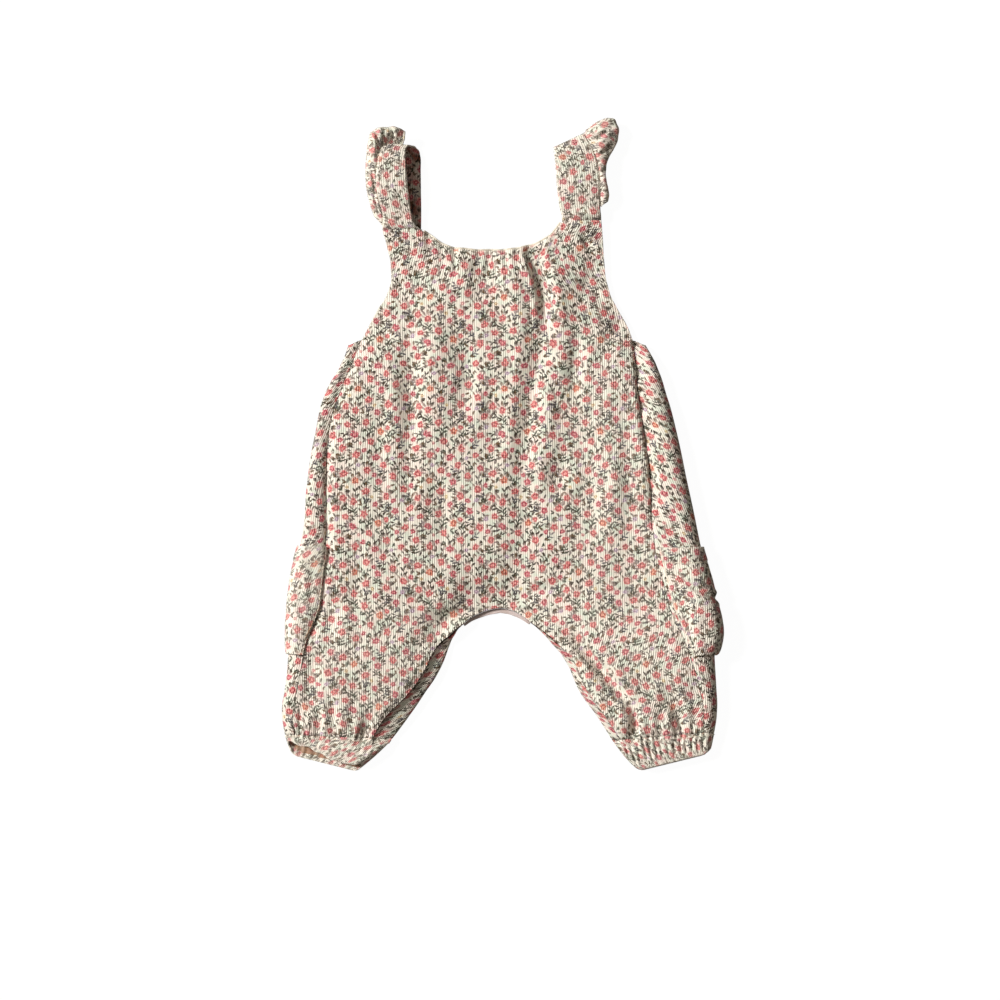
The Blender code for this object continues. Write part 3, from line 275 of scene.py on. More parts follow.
FINE_FOLDS = [
    # the sharp upper part of the deep fold, and the dark side seam on the right
    Fold(19, 139, 27.5, 128, 30, 112, 2.2, 2.4, -0.3),
    Fold(93, 74, 99, 30, 107, -46, 0.9, 1.6),
    Fold(-126, 4, -128, -30, -127, -74, 1.6, 3),
    # the right leg's troughs are sharper in their middle
    Fold(52, -138, 74, -160, 92, -186, 1.8, 3, -0.2),
    Fold(94, -188, 98, -200, 94, -212, 1.6, 2.4),
    # short uneven creases that hang from the neckline
    Fold(-34, 141, -33, 132, -33.5, 122, 0.7, 1.8),
    Fold(-21, 140, -20, 128, -22, 112, 0.9, 2.2),
    Fold(-11, 139.5, -9.5, 131, -10, 120, 1.3, 1.7),
    Fold(-5, 139.5, -3, 128, -5, 114, 1.2, 1.9),
    Fold(2.5, 140, 4, 133, 3, 124, 0.9, 1.6),
    Fold(24, 145, 26, 136, 27, 126, 1.1, 1.8),
    Fold(34, 150, 36, 138, 35, 126, 0.8, 2),
    Fold(-14, 139, -12, 126, -14, 106, 2.4, 6.5),
    # drags from the armholes and the strap ends into the bodice
    Fold(-74, 150, -66, 138, -60, 124, 0.9, 3.2),
    Fold(-80, 128, -72, 116, -66, 100, 0.9, 4),
    Fold(-92, 92, -84, 84, -78, 70, 1, 4.5),
    Fold(86, 88, 78, 80, 72, 64, 1.1, 4),
    Fold(66, 128, 60, 118, 58, 104, 0.8, 3),
    # long quiet waves down the body
    Fold(-90, 40, -88, 0, -92, -50, 0.9, 7),
    Fold(-46, -10, -42, -40, -46, -80, 1, 8),
    Fold(-8, 40, -6, 10, -10, -30, 0.9, 7),
    Fold(66, 10, 62, -30, 66, -64, 1, 8),
    Fold(88, 30, 90, -10, 92, -60, 0.9, 5),
    Fold(-104, -60, -102, -90, -106, -120, 0.8, 6),
    Fold(30, 50, 34, 20, 32, -20, -0.8, 7),
    # drags that fan out from the crotch
    Fold(-8, -112, -20, -104, -38, -98, 0.9, 3.4),
    Fold(8, -112, 24, -104, 44, -100, 0.8, 3.4),
    Fold(-4, -110, -8, -96, -14, -82, 0.7, 3.6),
    # creases that run up from the cuffs
    Fold(-146, -208, -144, -198, -145, -186, 1, 2.4),
    Fold(-134, -210, -131, -200, -132, -190, 1.1, 2.4),
    Fold(-122, -210, -120, -196, -123, -180, 1.2, 2.8),
    Fold(-110, -210, -108, -200, -107, -190, 0.9, 2.4),
    Fold(104, -212, 106, -202, 104, -192, 1.1, 2.2),
    Fold(112, -211, 114, -198, 116, -184, 1.2, 2.6),
    Fold(137, -209, 139, -200, 138, -188, 1, 2.4),
    Fold(146, -208, 146, -200, 147, -190, 0.9, 2),
    Fold(84, -200, 80, -190, 74, -178, 1, 3.2),
]

BACK_FOLDS = [
    # quiet waves of the underside, which lift off the surface it lies on
    Fold(-60, 60, -56, 0, -62, -60, 1.5, 7),
    Fold(-20, 80, -26, 30, -18, -20, 1.2, 6),
    Fold(28, 100, 34, 40, 26, -30, 1.6, 7),
    Fold(70, 40, 66, -10, 72, -70, 1.3, 6),
    Fold(-90, -20, -86, -60, -92, -110, 1.2, 6),
    Fold(-104, -140, -100, -170, -110, -196, 1.4, 6),
    Fold(96, -140, 102, -168, 108, -194, 1.4, 6),
    Fold(4, -40, -4, -70, 2, -104, 1.2, 6),
]

RUFFLE_FOLDS = [
    # the left frill is crushed: a curl at its top, and creases beside the strap
    Fold(-91.4, 226, -87.6, 218, -89.4, 208, 2.6, 1.2),
    Fold(-95, 199, -90.6, 190, -90.4, 178, 2.2, 1.2),
    Fold(-94, 184, -90.4, 176, -88, 164, 1.6, 1.1),
    Fold(-80, 228, -78, 223, -79, 219, 1.6, 1.4),
    # the right frill fans out from its seam
    Fold(66, 218, 72, 223, 79, 229, 1.8, 1.5),
    Fold(69, 208, 75, 211, 80, 217, 1.6, 1.4),
    Fold(71, 198, 73, 196, 76, 197, 1, 1.2),
]

POCKET_FOLDS = [
    # creases of the right pocket, and a few of the left one
    Fold(129, -97, 140, -103, 151, -112.5, 3.4, 1.5),
    Fold(132.6, -126, 135, -130, 135.8, -136, 2, 1.2),
    Fold(119, -129.5, 126, -138, 133.5, -146, 2.4, 1.3),
    Fold(141, -116, 146, -128, 144, -142, 1.2, 2.6),
    Fold(-134, -84, -138, -100, -136, -116, 0.9, 2.6),
    Fold(-144, -96, -146, -112, -143, -126, 0.8, 2.2),
]

NECK_GATHERS = 11
NECK_GATHER_DEPTH = 1.8
NECK_GATHER_LENGTH = 15.0
HEM_GATHERS = 15
HEM_GATHER_DEPTHS = {Side.LEFT: 0.8, Side.RIGHT: 1.5}
HEM_GATHER_LENGTH = 9.0
STRAP_LIFT = 3.0
STRAP_LIFT_REACH = 24.0
CALM_EDGE = 8.0
CALM_SHARE = 0.35
FOLD_POINTS = 97
FOLD_REACH = 4.0
FOLD_END = 0.35
LIP_HEIGHT = 0.28
LIP_PLACE = 2.1

LEFT_STRAP = [
    (-86.1, 159, 8, -62.8, 159.2, 8.2),
    (-86, 166, 9, -64.8, 165, 9.4),
    (-89, 178, 12, -66.6, 177, 12.4),
    (-90.4, 190, 13.8, -67.9, 189, 13.6),
    (-89.6, 202, 14.4, -69, 201, 13.8),
    (-87.8, 210, 13.6, -69.2, 209.4, 12.8),
    (-85.8, 215.4, 10.6, -68, 214.6, 10),
    (-83.4, 216.6, 6.6, -65, 215.6, 6.2),
    (-80.4, 214.8, 2.6, -61.4, 213.8, 2.6),
    (-79.2, 209.4, 0, -58.9, 208.4, 0),
    (-78.8, 198, 0, -58.6, 198, 0),
    (-79.4, 182, 0, -58.4, 182, 0),
    (-81.4, 166, 0, -58.2, 166, 0),
]
RIGHT_STRAP = [
    (42.9, 165.4, 8, 71.3, 165.8, 7.8),
    (41.6, 170, 8.6, 70.8, 171.4, 8.2),
    (39.8, 182, 10.2, 70.8, 184, 9.8),
    (38.8, 195, 10.8, 69.8, 197.6, 10.6),
    (37.9, 205.4, 10.6, 66, 211, 10.8),
    (37.2, 211.4, 9.4, 61, 220.2, 10),
    (37.2, 214.2, 6.4, 58.8, 224, 6.8),
    (37.8, 212.6, 2.4, 59, 222, 2.6),
    (38.8, 207, 0, 60.4, 215, 0),
    (40.6, 194, 0, 63.6, 199, 0),
    (42, 180, 0, 66, 182, 0),
    (42.8, 168, 0, 67.6, 168, 0),
]
LEFT_RUFFLE = [
    (-85.2, 156, 6.6, -86.2, 156, 7.2, -88, 156.4, 5.8),
    (-86.4, 166, 9, -88.4, 165.8, 11, -93, 167, 6.6),
    (-88.2, 173, 11, -90.4, 172.8, 13.2, -95, 173.4, 8.4),
    (-89.8, 180, 12.4, -92.2, 180.4, 14.8, -97, 181, 9),
    (-90.7, 188, 13.6, -93.4, 188.4, 16, -98, 189, 9.8),
    (-90.5, 197, 14.2, -93.4, 197.4, 16.8, -98.2, 198, 10.4),
    (-89.3, 206, 13.8, -92.8, 207.2, 17.6, -97.6, 208.2, 11),
    (-87.9, 212.4, 12.6, -91.2, 217.2, 18.6, -96, 218.4, 12.6),
    (-86.2, 216.4, 11.6, -87.2, 223.4, 19.6, -92.2, 226, 14.6),
    (-82.4, 217.8, 10.4, -81.2, 225.4, 19.6, -82, 228.4, 14),
    (-76.6, 217.8, 9.4, -75, 224.8, 17.6, -75.2, 228.2, 12.6),
    (-70.8, 217.2, 8.4, -69.4, 221.6, 14.4, -69.4, 225.4, 10.6),
]
RIGHT_RUFFLE = [
    (71.2, 171.6, 7.8, 72.8, 171.4, 8.8, 74.4, 171.6, 8),
    (71.2, 177, 8.9, 74.2, 176.8, 11.6, 76.8, 177.2, 8.4),
    (71.2, 184, 9.8, 74, 184, 12.2, 76.6, 183.8, 9),
    (70.7, 191, 10.2, 73, 191.2, 11.8, 75.2, 190.8, 9.4),
    (70.1, 198, 10.6, 72.6, 198.4, 12.4, 75, 198, 9.6),
    (67.9, 206, 10.8, 71.8, 207.6, 14, 76.8, 206.2, 8.2),
    (65.5, 213.2, 10.8, 72, 216.6, 15.4, 81, 213.8, 7.4),
    (62.3, 219.2, 10.2, 71.6, 224, 16, 83.8, 222.4, 7.6),
    (60.6, 222.6, 8.8, 69.6, 228.4, 15, 82.8, 230.8, 8.2),
    (59.7, 224.4, 7.2, 66.8, 230.4, 11.8, 77.8, 235.4, 7),
    (59.2, 225.2, 5.6, 63.8, 230, 7.6, 69, 233.2, 4.8),
]


# Curves and small sums ---------------------------------------------------------------------------


def through(xs: list, ys: list, at: np.ndarray) -> np.ndarray:
    """Reads a smooth curve through points.

    Args:
        xs: places of the points, rising.
        ys: a value, or a row of values, at each place.
        at: where the curve is read.

    Returns:
        The values, one row for each place read.
    """
    xs, ys, at = np.asarray(xs, float), np.asarray(ys, float), np.atleast_1d(at).astype(float)
    wide = ys.reshape(len(xs), -1)
    i = np.clip(np.searchsorted(xs, at) - 1, 0, len(xs) - 2)
    steps = np.diff(wide, axis=0) / np.diff(xs)[:, None]
    slopes = np.concatenate((steps[:1], (steps[1:] + steps[:-1]) / 2, steps[-1:]))
    h = (xs[i + 1] - xs[i])[:, None]
    t = (at - xs[i])[:, None] / h
    w = t * t * (3 - 2 * t)
    a = wide[i] + t * h * slopes[i]
    b = wide[i + 1] + (t - 1) * h * slopes[i + 1]
    return (a * (1 - w) + b * w).reshape(at.shape + ys.shape[1:])


def ease(x: np.ndarray | float) -> np.ndarray:
    """A step from 0 to 1 with soft ends."""
    x = np.clip(x, 0.0, 1.0)
    return x * x * (3 - 2 * x)


def lerp(a: float, b: float, t: float) -> float:
    """The value a share t of the way from a to b."""
    return a + (b - a) * t


def bell(x: np.ndarray | float) -> np.ndarray:
    """A smooth hump, 1 at 0 and gone by about 2."""
    return np.exp(-np.square(x))


def lengths(rows: np.ndarray) -> np.ndarray:
    """How far along its row each point of a grid lies."""
    steps = np.linalg.norm(np.diff(rows, axis=1), axis=2)
    return np.concatenate((np.zeros((len(rows), 1)), np.cumsum(steps, axis=1)), axis=1)


def evened(points: np.ndarray, count: int) -> np.ndarray:
    """A line of points moved to equal steps along itself."""
    along = lengths(points[None])[0]
    at = np.linspace(0, along[-1], count + 1)
    return np.stack([np.interp(at, along, points[:, k]) for k in range(points.shape[1])], axis=1)


def smoothed_rows(rows: np.ndarray, steps: int) -> np.ndarray:
    """A grid with smooth rows added between its own: steps rows for each."""
    stations = np.arange(len(rows))
    return through(stations, rows, np.linspace(0, len(rows) - 1, (len(rows) - 1) * steps + 1))


class Ripple(NamedTuple):
    """Soft uneven noise over a grid of points, with the size of its waves in mm."""

    across: float
    along: float
    seed: float
    height: float = 1.0

    def at(self, points: np.ndarray) -> np.ndarray:
        """Reads the noise.

        Args:
            points: points with X and Y first, of any shape.

        Returns:
            Values from about -height to height, in the points' own shape.
        """
        flat = points.reshape(-1, points.shape[-1])
        values = [noise.noise(Vector((p[0] / self.across, p[1] / self.along, self.seed))) for p in flat]
        return self.height * np.array(values).reshape(points.shape[:-1])


def section_at(table: list, t: float) -> NamedTuple:
    """The section a share t of the way down a table, with each column smooth."""
    kind = type(table[0])
    legs = kind is LegSection
    stations = [row.share for row in table] if legs else np.linspace(0, 1, len(table))
    return kind(*through(stations, table, np.array([t]))[0])


def top_edge_y(x: np.ndarray) -> np.ndarray:
    """The height of the front's top edge."""
    xs, ys = zip(*TOP_EDGE)
    return through(xs, ys, np.clip(x, xs[0], xs[-1]))


def along_top_edge(x: np.ndarray, y: float, drop: np.ndarray | float = 0.0) -> np.ndarray:
    """A bodice row's y, once the rows are bent so that the first one is the top edge."""
    corner, top = SIDES[0].y, ARMHOLES[0].y
    return corner + (y - corner) * (top_edge_y(x) - drop - corner) / (top - corner)


def below_top_edge(points: np.ndarray) -> np.ndarray:
    """How far below the front's top edge each point of a grid is."""
    x, y = points[..., 0], points[..., 1]
    return top_edge_y(x.ravel()).reshape(x.shape) - y


def fold_depths(x: np.ndarray, y: np.ndarray, folds: list) -> np.ndarray:
    """How far cloth sinks for a list of folds.

    Each fold fades to its ends, and low lips stand beside its trough.

    Args:
        x: places across.
        y: places along.
        folds: the folds.

    Returns:
        The depth at each place.
    """
    depth = np.zeros(x.shape)
    t = np.linspace(0, 1, FOLD_POINTS)
    a, b, c = (1 - t) ** 2, 2 * t * (1 - t), t * t
    for fold in folds:
        lx = a * fold.x0 + b * fold.x1 + c * fold.x2
        ly = a * fold.y0 + b * fold.y1 + c * fold.y2
        reach = FOLD_REACH * fold.width
        near = (x > lx.min() - reach) & (x < lx.max() + reach)
        near &= (y > ly.min() - reach) & (y < ly.max() + reach)
        if not near.any():
            continue
        dx, dy = x[near][:, None] - lx, y[near][:, None] - ly
        far = np.hypot(dx, dy)
        i = far.argmin(axis=1)
        pick = np.arange(len(i))
        tx, ty = np.gradient(lx)[i], np.gradient(ly)[i]
        side = np.sign(tx * dy[pick, i] - ty * dx[pick, i])
        q = far[pick, i] / (fold.width * (1 + fold.lean * side))
        fade = FOLD_END + (1 - FOLD_END) * np.sin(pi * i / (FOLD_POINTS - 1))
        lips = LIP_HEIGHT * bell((q - LIP_PLACE) / 0.8)
        depth[near] += fold.depth * fade * (bell(q) - lips)
    return depth


@dataclass
class Loop:
    """A flattened section of the garment between two outline points, seen from above."""

    start: tuple
    stop: tuple
    seams: tuple
    thick: tuple
    crown: float
    shut: tuple
    bodice: bool = False
    laid: float = LAID_EDGE
    creases: tuple = (0.0, 0.0)
    dips: tuple = (1.0, 1.0)
    curve: tuple = (2.0, 2.0)
    length: float = field(init=False)

    def __post_init__(self) -> None:
        """Works out the length of the loop's line."""
        self.length = float(np.hypot(self.stop[0] - self.start[0], self.stop[1] - self.start[1]))

    def plan(self, s: np.ndarray) -> tuple:
        """The places seen from above, s along the loop's line."""
        t = s / self.length
        x = lerp(self.start[0], self.stop[0], t)
        y = lerp(self.start[1], self.stop[1], t)
        return (x, along_top_edge(x, self.start[1])) if self.bodice else (x, y)

    def height(self, s: np.ndarray) -> np.ndarray:
        """The loop's thickness before its ends are rolled."""
        near = bell(s / SIDE_REACH), bell((self.length - s) / SIDE_REACH)
        return self.crown + sum((self.thick[k] - self.crown) * near[k] for k in (0, 1))

    def roll(self, end: int, d: np.ndarray) -> np.ndarray:
        """How far the quarter turn at an end has come up, d in from the outline."""
        share = np.clip(d / (ROLL_SHARE * self.thick[end]), 0, 1)
        return (1 - (1 - share) ** self.curve[end]) ** (1 / self.curve[end])

    def top(self, s: np.ndarray) -> np.ndarray:
        """The outer face above."""
        h = self.height(s)
        z = h
        for end, d in enumerate((s, self.length - s)):
            middle, seam, shut = self.thick[end] / 2, self.seams[end], self.shut[end]
            rolled = (middle + (h - middle) * self.roll(end, d)) / h
            inside = np.abs(d - seam)
            laid = lerp(self.laid / h, 1.0, 1 - np.exp(-((inside / EDGE_RISE) ** RISE_POWER)))
            z = z * lerp(laid, rolled, shut)
            dip_room = np.clip((seam - DIP_FROM) / DIP_FULL, 0, 1)
            z = z - shut * dip_room * SEAM_DIP * self.dips[end] * bell(inside / DIP_WIDTH)
            z = z - self.creases[end] * bell((d - seam) / np.where(d < seam, *CREASE_WIDTHS[end]))
        return z

    def under(self, end: int, d: np.ndarray) -> np.ndarray:
        """The outer face below, 0 on the surface."""
        return self.thick[end] / 2 * self.shut[end] * (1 - self.roll(end, d))


class Form:
    """The garment's sections, from which the front, the back and the pockets are drawn."""

    def bodice(self) -> list[Loop]:
        """Loops from the top edge down to the armhole corners."""
        loops = []
        for row in range(BODICE_ROWS):
            section = section_at(ARMHOLES + SIDES[:1], row / BODICE_ROWS)
            ends = (section.seam_l, section.y), (section.seam_r, section.y)
            thick = (section.thick_l, section.thick_r)
            loops.append(Loop(*ends, (0.0, 0.0), thick, section.crown, (0.0, 0.0), bodice=True))
        return loops

    def body(self) -> list[Loop]:
        """Loops from the armhole corners down to the crotch."""
        loops = []
        for row in range(BODY_ROWS + 1):
            t = row / BODY_ROWS
            section = section_at(SIDES, t)
            seams = (section.seam_l - section.out_l, section.out_r - section.seam_r)
            shut = lerp(CORNER_SHUT, 1.0, float(ease(t * CORNER_SPAN)))
            ends = (section.out_l, section.y), (section.out_r, section.y)
            thick = (section.thick_l, section.thick_r)
            y = section.y
            jagged = 1 + 0.22 * np.sin(y / 3.7) + 0.16 * np.sin(y / 1.9)
            creases = (
                LEFT_CREASE * float(ease((14 - y) / 16) * ease((y + 92) / 12)),
                RIGHT_CREASE * float(ease((y + 68) / 44)) * jagged,
            )
            curve = (2.0, lerp(2.0, FALLING_CURVE, float(ease((64 - y) / 30))))
            dips = (1.0, lerp(0.4, FLUSH, float(ease((-22 - y) / 44))))
            shape = {"creases": creases, "dips": dips, "curve": curve}
            loops.append(Loop(*ends, seams, thick, section.crown, (shut, shut), **shape))
        return loops

    def leg(self, side: Side) -> list[Loop]:
        """Loops of a leg from just below the crotch down to the elastic."""
        table = LEFT_LEG if side is Side.LEFT else RIGHT_LEG
        loops = []
        for row in range(1, LEG_ROWS + 1):
            s = section_at(table, (row / LEG_ROWS) ** LEG_ROW_POWER)
            laid = lerp(LAID_EDGE, LEG_EDGE, float(ease(s.shut_in * CURLED_BY)))
            ends = (s.out_x, s.out_y), (s.in_x, s.in_y)
            seams, thick = (s.seam_out, s.seam_in), (s.thick_out, s.thick_in)
            curve = (2.0 if side is Side.LEFT else FALLING_CURVE, 2.0)
            shut = (1.0, s.shut_in)
            fading = float(ease((-126 - s.out_y) / 24))
            dips = (FLUSH if side is Side.RIGHT else lerp(1.0, FLUSH, fading), 1.0)
            loops.append(Loop(*ends, seams, thick, s.crown, shut, laid=laid, dips=dips, curve=curve))
        return loops


def crowded(count: int) -> np.ndarray:
    """Shares from 0 to 1, closer together at both ends."""
    w = np.linspace(0, 1, count + 1)
    return w - 0.075 * np.sin(2 * pi * w)


# Meshes ------------------------------------------------------------------------------------------


class Patch(NamedTuple):
    """A grid of outer-face points, with its cloth coordinates and how near each is to an edge."""

    points: np.ndarray
    cloth: np.ndarray
    hem: np.ndarray

    def turned(self) -> "Patch":
        """The same patch with its faces turned over."""
        return Patch(self.points[:, ::-1], self.cloth[:, ::-1], self.hem[:, ::-1])


def cloth_grid(points: np.ndarray, keep: int) -> np.ndarray:
    """Flat cloth coordinates of a grid: along each row from its kept column, and up the garment.

    Args:
        points: the grid.
        keep: the column whose place across the cloth is its own X.

    Returns:
        Two coordinates for each point.
    """
    along = lengths(points)
    u = points[:, keep, 0][:, None] + along - along[:, keep][:, None]
    return np.stack((u, points[:, :, 1]), axis=2)


def hem_of(points: np.ndarray, sides: tuple, reach: float = 2.0) -> np.ndarray:
    """How near each point of a grid is to its finished edges.

    Args:
        points: the grid.
        sides: which edges are finished, of top, bottom, left and right.
        reach: how far from an edge it is felt, in mm.

    Returns:
        1 on such an edge, falling to 0.
    """
    across = lengths(points)
    down = lengths(points.transpose(1, 0, 2)).T
    far = {
        "left": across,
        "right": across[:, -1:] - across,
        "top": down,
        "bottom": down[-1:] - down,
    }
    near = np.full(points.shape[:2], 1e9)
    for name in sides:
        near = np.minimum(near, far[name])
    return np.clip(1 - near / reach, 0, 1)


def patch_of(points: np.ndarray, keep: int, hems: tuple = ()) -> Patch:
    """A patch with cloth coordinates and hems worked out from its points."""
    return Patch(points, cloth_grid(points, keep), hem_of(points, hems))


def shell(name: str, patches: list[Patch], wall: float = CLOTH_WALL) -> bpy.types.Object:
    """Makes a piece of cloth: patches joined into an outer face, with its wall grown inwards.

    Args:
        name: the piece's name.
        patches: its patches, with their faces pointing out.
        wall: the cloth's thickness, in mm.

    Returns:
        The piece, with the right side in material slot 0 and the wrong side in slot 1.
    """
    points = np.concatenate([p.points.reshape(-1, 3) for p in patches])
    cloth = np.concatenate([p.cloth.reshape(-1, 2) for p in patches])
    hem = np.concatenate([p.hem.reshape(-1) for p in patches])
    quads, first = [], 0
    for patch in patches:
        rows, columns = patch.points.shape[:2]
        index = first + np.arange(rows * columns).reshape(rows, columns)
        corners = (index[:-1, :-1], index[1:, :-1], index[1:, 1:], index[:-1, 1:])
        quads.append(np.stack(corners, axis=-1).reshape(-1, 4))
        first += rows * columns
    quads = np.concatenate(quads)
    _, chosen, joined = np.unique(np.round(points, 3), axis=0, return_index=True, return_inverse=True)
    joined = joined.reshape(-1)
    faces, corners = [], []
    for quad in quads:
        kept = dict(zip(joined[quad].tolist(), quad.tolist()))
        if len(kept) > 2:
            faces.append(list(kept))
            corners.extend(kept.values())
    mesh = bpy.data.meshes.new(name)
    mesh.from_pydata((points[chosen] * MM).tolist(), [], faces)
    mesh.uv_layers.new(name="cloth").data.foreach_set("uv", (cloth[corners] * MM).ravel())
    edge = mesh.attributes.new("hem", "FLOAT", "POINT")
    edge.data.foreach_set("value", hem[chosen].astype(np.float32))
    mesh.shade_smooth()
    obj = bpy.data.objects.new(name, mesh)
    bpy.context.scene.collection.objects.link(obj)
    obj.data.materials.append(None)
    obj.data.materials.append(None)
    solid = obj.modifiers.new("wall", "SOLIDIFY")
    solid.thickness = wall * MM
    solid.offset = -1.0
    solid.material_offset = 1
    settle(obj)
    return obj


def settle(obj: bpy.types.Object) -> None:
    """Turns a piece with its modifiers into a plain mesh."""
    evaluated = obj.evaluated_get(bpy.context.evaluated_depsgraph_get())
    plain = bpy.data.meshes.new_from_object(evaluated)
    plain.name = obj.name
    obj.modifiers.clear()
    obj.data = plain


# The print ---------------------------------------------------------------------------------------


class Ink(Enum):
    """The inks of the print's strokes, by their place in its palette."""

    MOSS = 0
    OLIVE = 1
    TEAL = 2
    SLATE = 3


class Petal(Enum):
    """The tints of the print's blossoms, by their place in its palette."""

    CORAL = 0
    ROSE = 1
    APRICOT = 2
    BLUSH = 3
    LILAC = 4
    BUTTER = 5


class Blossom(NamedTuple):
    """A blossom of the repeat: its middle, radius, how wide it is for its height, and turn."""

    x: float
    y: float
    radius: float
    wide: float
    turn: float
    petal: Petal


class Sprig(NamedTuple):
    """A small branching stem of the repeat: its foot, length and heading, and its ink."""

    x: float
    y: float
    length: float
    turn: float
    ink: Ink


REPEAT = (54.0, 66.0)
FRONT_SHIFT = (3.0, 11.0)
BLOSSOMS = [
    Blossom(5, 4, 3.2, 1, 10, Petal.CORAL),
    Blossom(10.6, 7.4, 2, 1.1, 40, Petal.ROSE),
    Blossom(19.5, 2, 2.7, 1.35, 12, Petal.ROSE),
    Blossom(27.5, 8.5, 3.2, 1, 70, Petal.CORAL),
    Blossom(38, 3.6, 2.7, 1.1, 8, Petal.CORAL),
    Blossom(49, 8.6, 3.2, 1, 30, Petal.CORAL),
    Blossom(15, 13.6, 3, 1, 0, Petal.CORAL),
    Blossom(35, 14.4, 2, 1, 0, Petal.ROSE),
    Blossom(41.2, 17.8, 3.3, 1, 50, Petal.CORAL),
    Blossom(46.8, 14.8, 2.1, 1.2, 20, Petal.ROSE),
    Blossom(3.2, 18.6, 2.8, 1.3, -30, Petal.ROSE),
    Blossom(22, 20.8, 3.1, 1, 15, Petal.APRICOT),
    Blossom(27.2, 23.4, 2.2, 1, 0, Petal.CORAL),
    Blossom(11.2, 27.2, 3.2, 1, 60, Petal.CORAL),
    Blossom(51.8, 25.6, 2.6, 1.2, 5, Petal.CORAL),
    Blossom(33.8, 29.6, 3, 1, 50, Petal.ROSE),
    Blossom(44.4, 31.4, 2.7, 1.4, 25, Petal.CORAL),
    Blossom(3.4, 36, 3.1, 1, 10, Petal.CORAL),
    Blossom(19.2, 34.4, 2.7, 1, 0, Petal.ROSE),
    Blossom(27, 40.2, 3.2, 1, 33, Petal.CORAL),
    Blossom(32.2, 37, 2, 1.3, -8, Petal.ROSE),
    Blossom(50.2, 38.8, 3.1, 1, 66, Petal.CORAL),
    Blossom(12.4, 43.6, 2.8, 1.35, 20, Petal.CORAL),
    Blossom(39.6, 45.2, 3.2, 1, 12, Petal.CORAL),
    Blossom(45.2, 47.8, 2.2, 1, 44, Petal.ROSE),
    Blossom(21.4, 50.4, 3, 1, 20, Petal.ROSE),
    Blossom(4.6, 51.4, 2.8, 1.1, 28, Petal.APRICOT),
    Blossom(32.2, 54.4, 3.2, 1, 0, Petal.CORAL),
    Blossom(50.2, 56.4, 2.9, 1.3, 15, Petal.CORAL),
    Blossom(13.2, 58.6, 3.2, 1, 5, Petal.CORAL),
    Blossom(18.4, 55.4, 2, 1, 0, Petal.ROSE),
    Blossom(41.6, 60.2, 3, 1, 30, Petal.ROSE),
    Blossom(25.2, 62.4, 2.8, 1.1, 60, Petal.CORAL),
    Blossom(31.4, 1.4, 1.7, 1, 0, Petal.LILAC),
    Blossom(7.6, 12.4, 1.5, 1, 0, Petal.BLUSH),
    Blossom(45.6, 23.6, 1.8, 1.2, 30, Petal.LILAC),
    Blossom(16.8, 39.6, 1.6, 1, 0, Petal.BUTTER),
    Blossom(38.4, 37.2, 1.7, 1.2, 0, Petal.LILAC),
    Blossom(28.6, 46.8, 1.6, 1, 0, Petal.BLUSH),
    Blossom(6.8, 62.6, 1.7, 1.2, 0, Petal.LILAC),
    Blossom(52.6, 46.6, 1.5, 1, 0, Petal.BUTTER),
]
SPRIGS = [
    Sprig(13.6, 18, 7, 75, Ink.TEAL),
    Sprig(33.6, 8.2, 6.5, 40, Ink.SLATE),
    Sprig(29.4, 15, 6, 110, Ink.TEAL),
    Sprig(52.4, 14, 6.5, 70, Ink.SLATE),
    Sprig(38, 22.4, 6.5, 150, Ink.SLATE),
    Sprig(4.6, 25.6, 6, 100, Ink.TEAL),
    Sprig(24.6, 28.6, 6.5, 45, Ink.SLATE),
    Sprig(10.4, 34.2, 6.5, 60, Ink.SLATE),
    Sprig(39.6, 34.8, 6, 20, Ink.TEAL),
    Sprig(20.2, 43.2, 6, 80, Ink.TEAL),
    Sprig(45.6, 40.8, 5.5, 200, Ink.SLATE),
    Sprig(9.2, 48.2, 6.5, 35, Ink.TEAL),
    Sprig(35.4, 48.8, 5.5, 120, Ink.TEAL),
    Sprig(42.6, 52.8, 6, 50, Ink.SLATE),
    Sprig(27, 56.6, 6, 140, Ink.SLATE),
    Sprig(46, 63.6, 6.5, 60, Ink.TEAL),
]
LEAF_SIZES = (4.9, 1.75)
STEM_WIDTH = 0.9
STEM_TRIES = 9
LOOSE_LEAVES = 34
STROKE_LAYERS = 5
BLOSSOM_LAYERS = 2


class Stroke(NamedTuple):
    """A leaf or stem: its middle, half length, half width, heading, bend and ink."""

    x: float
    y: float
    half: float
    thin: float
    turn: float
    bend: float
    ink: int


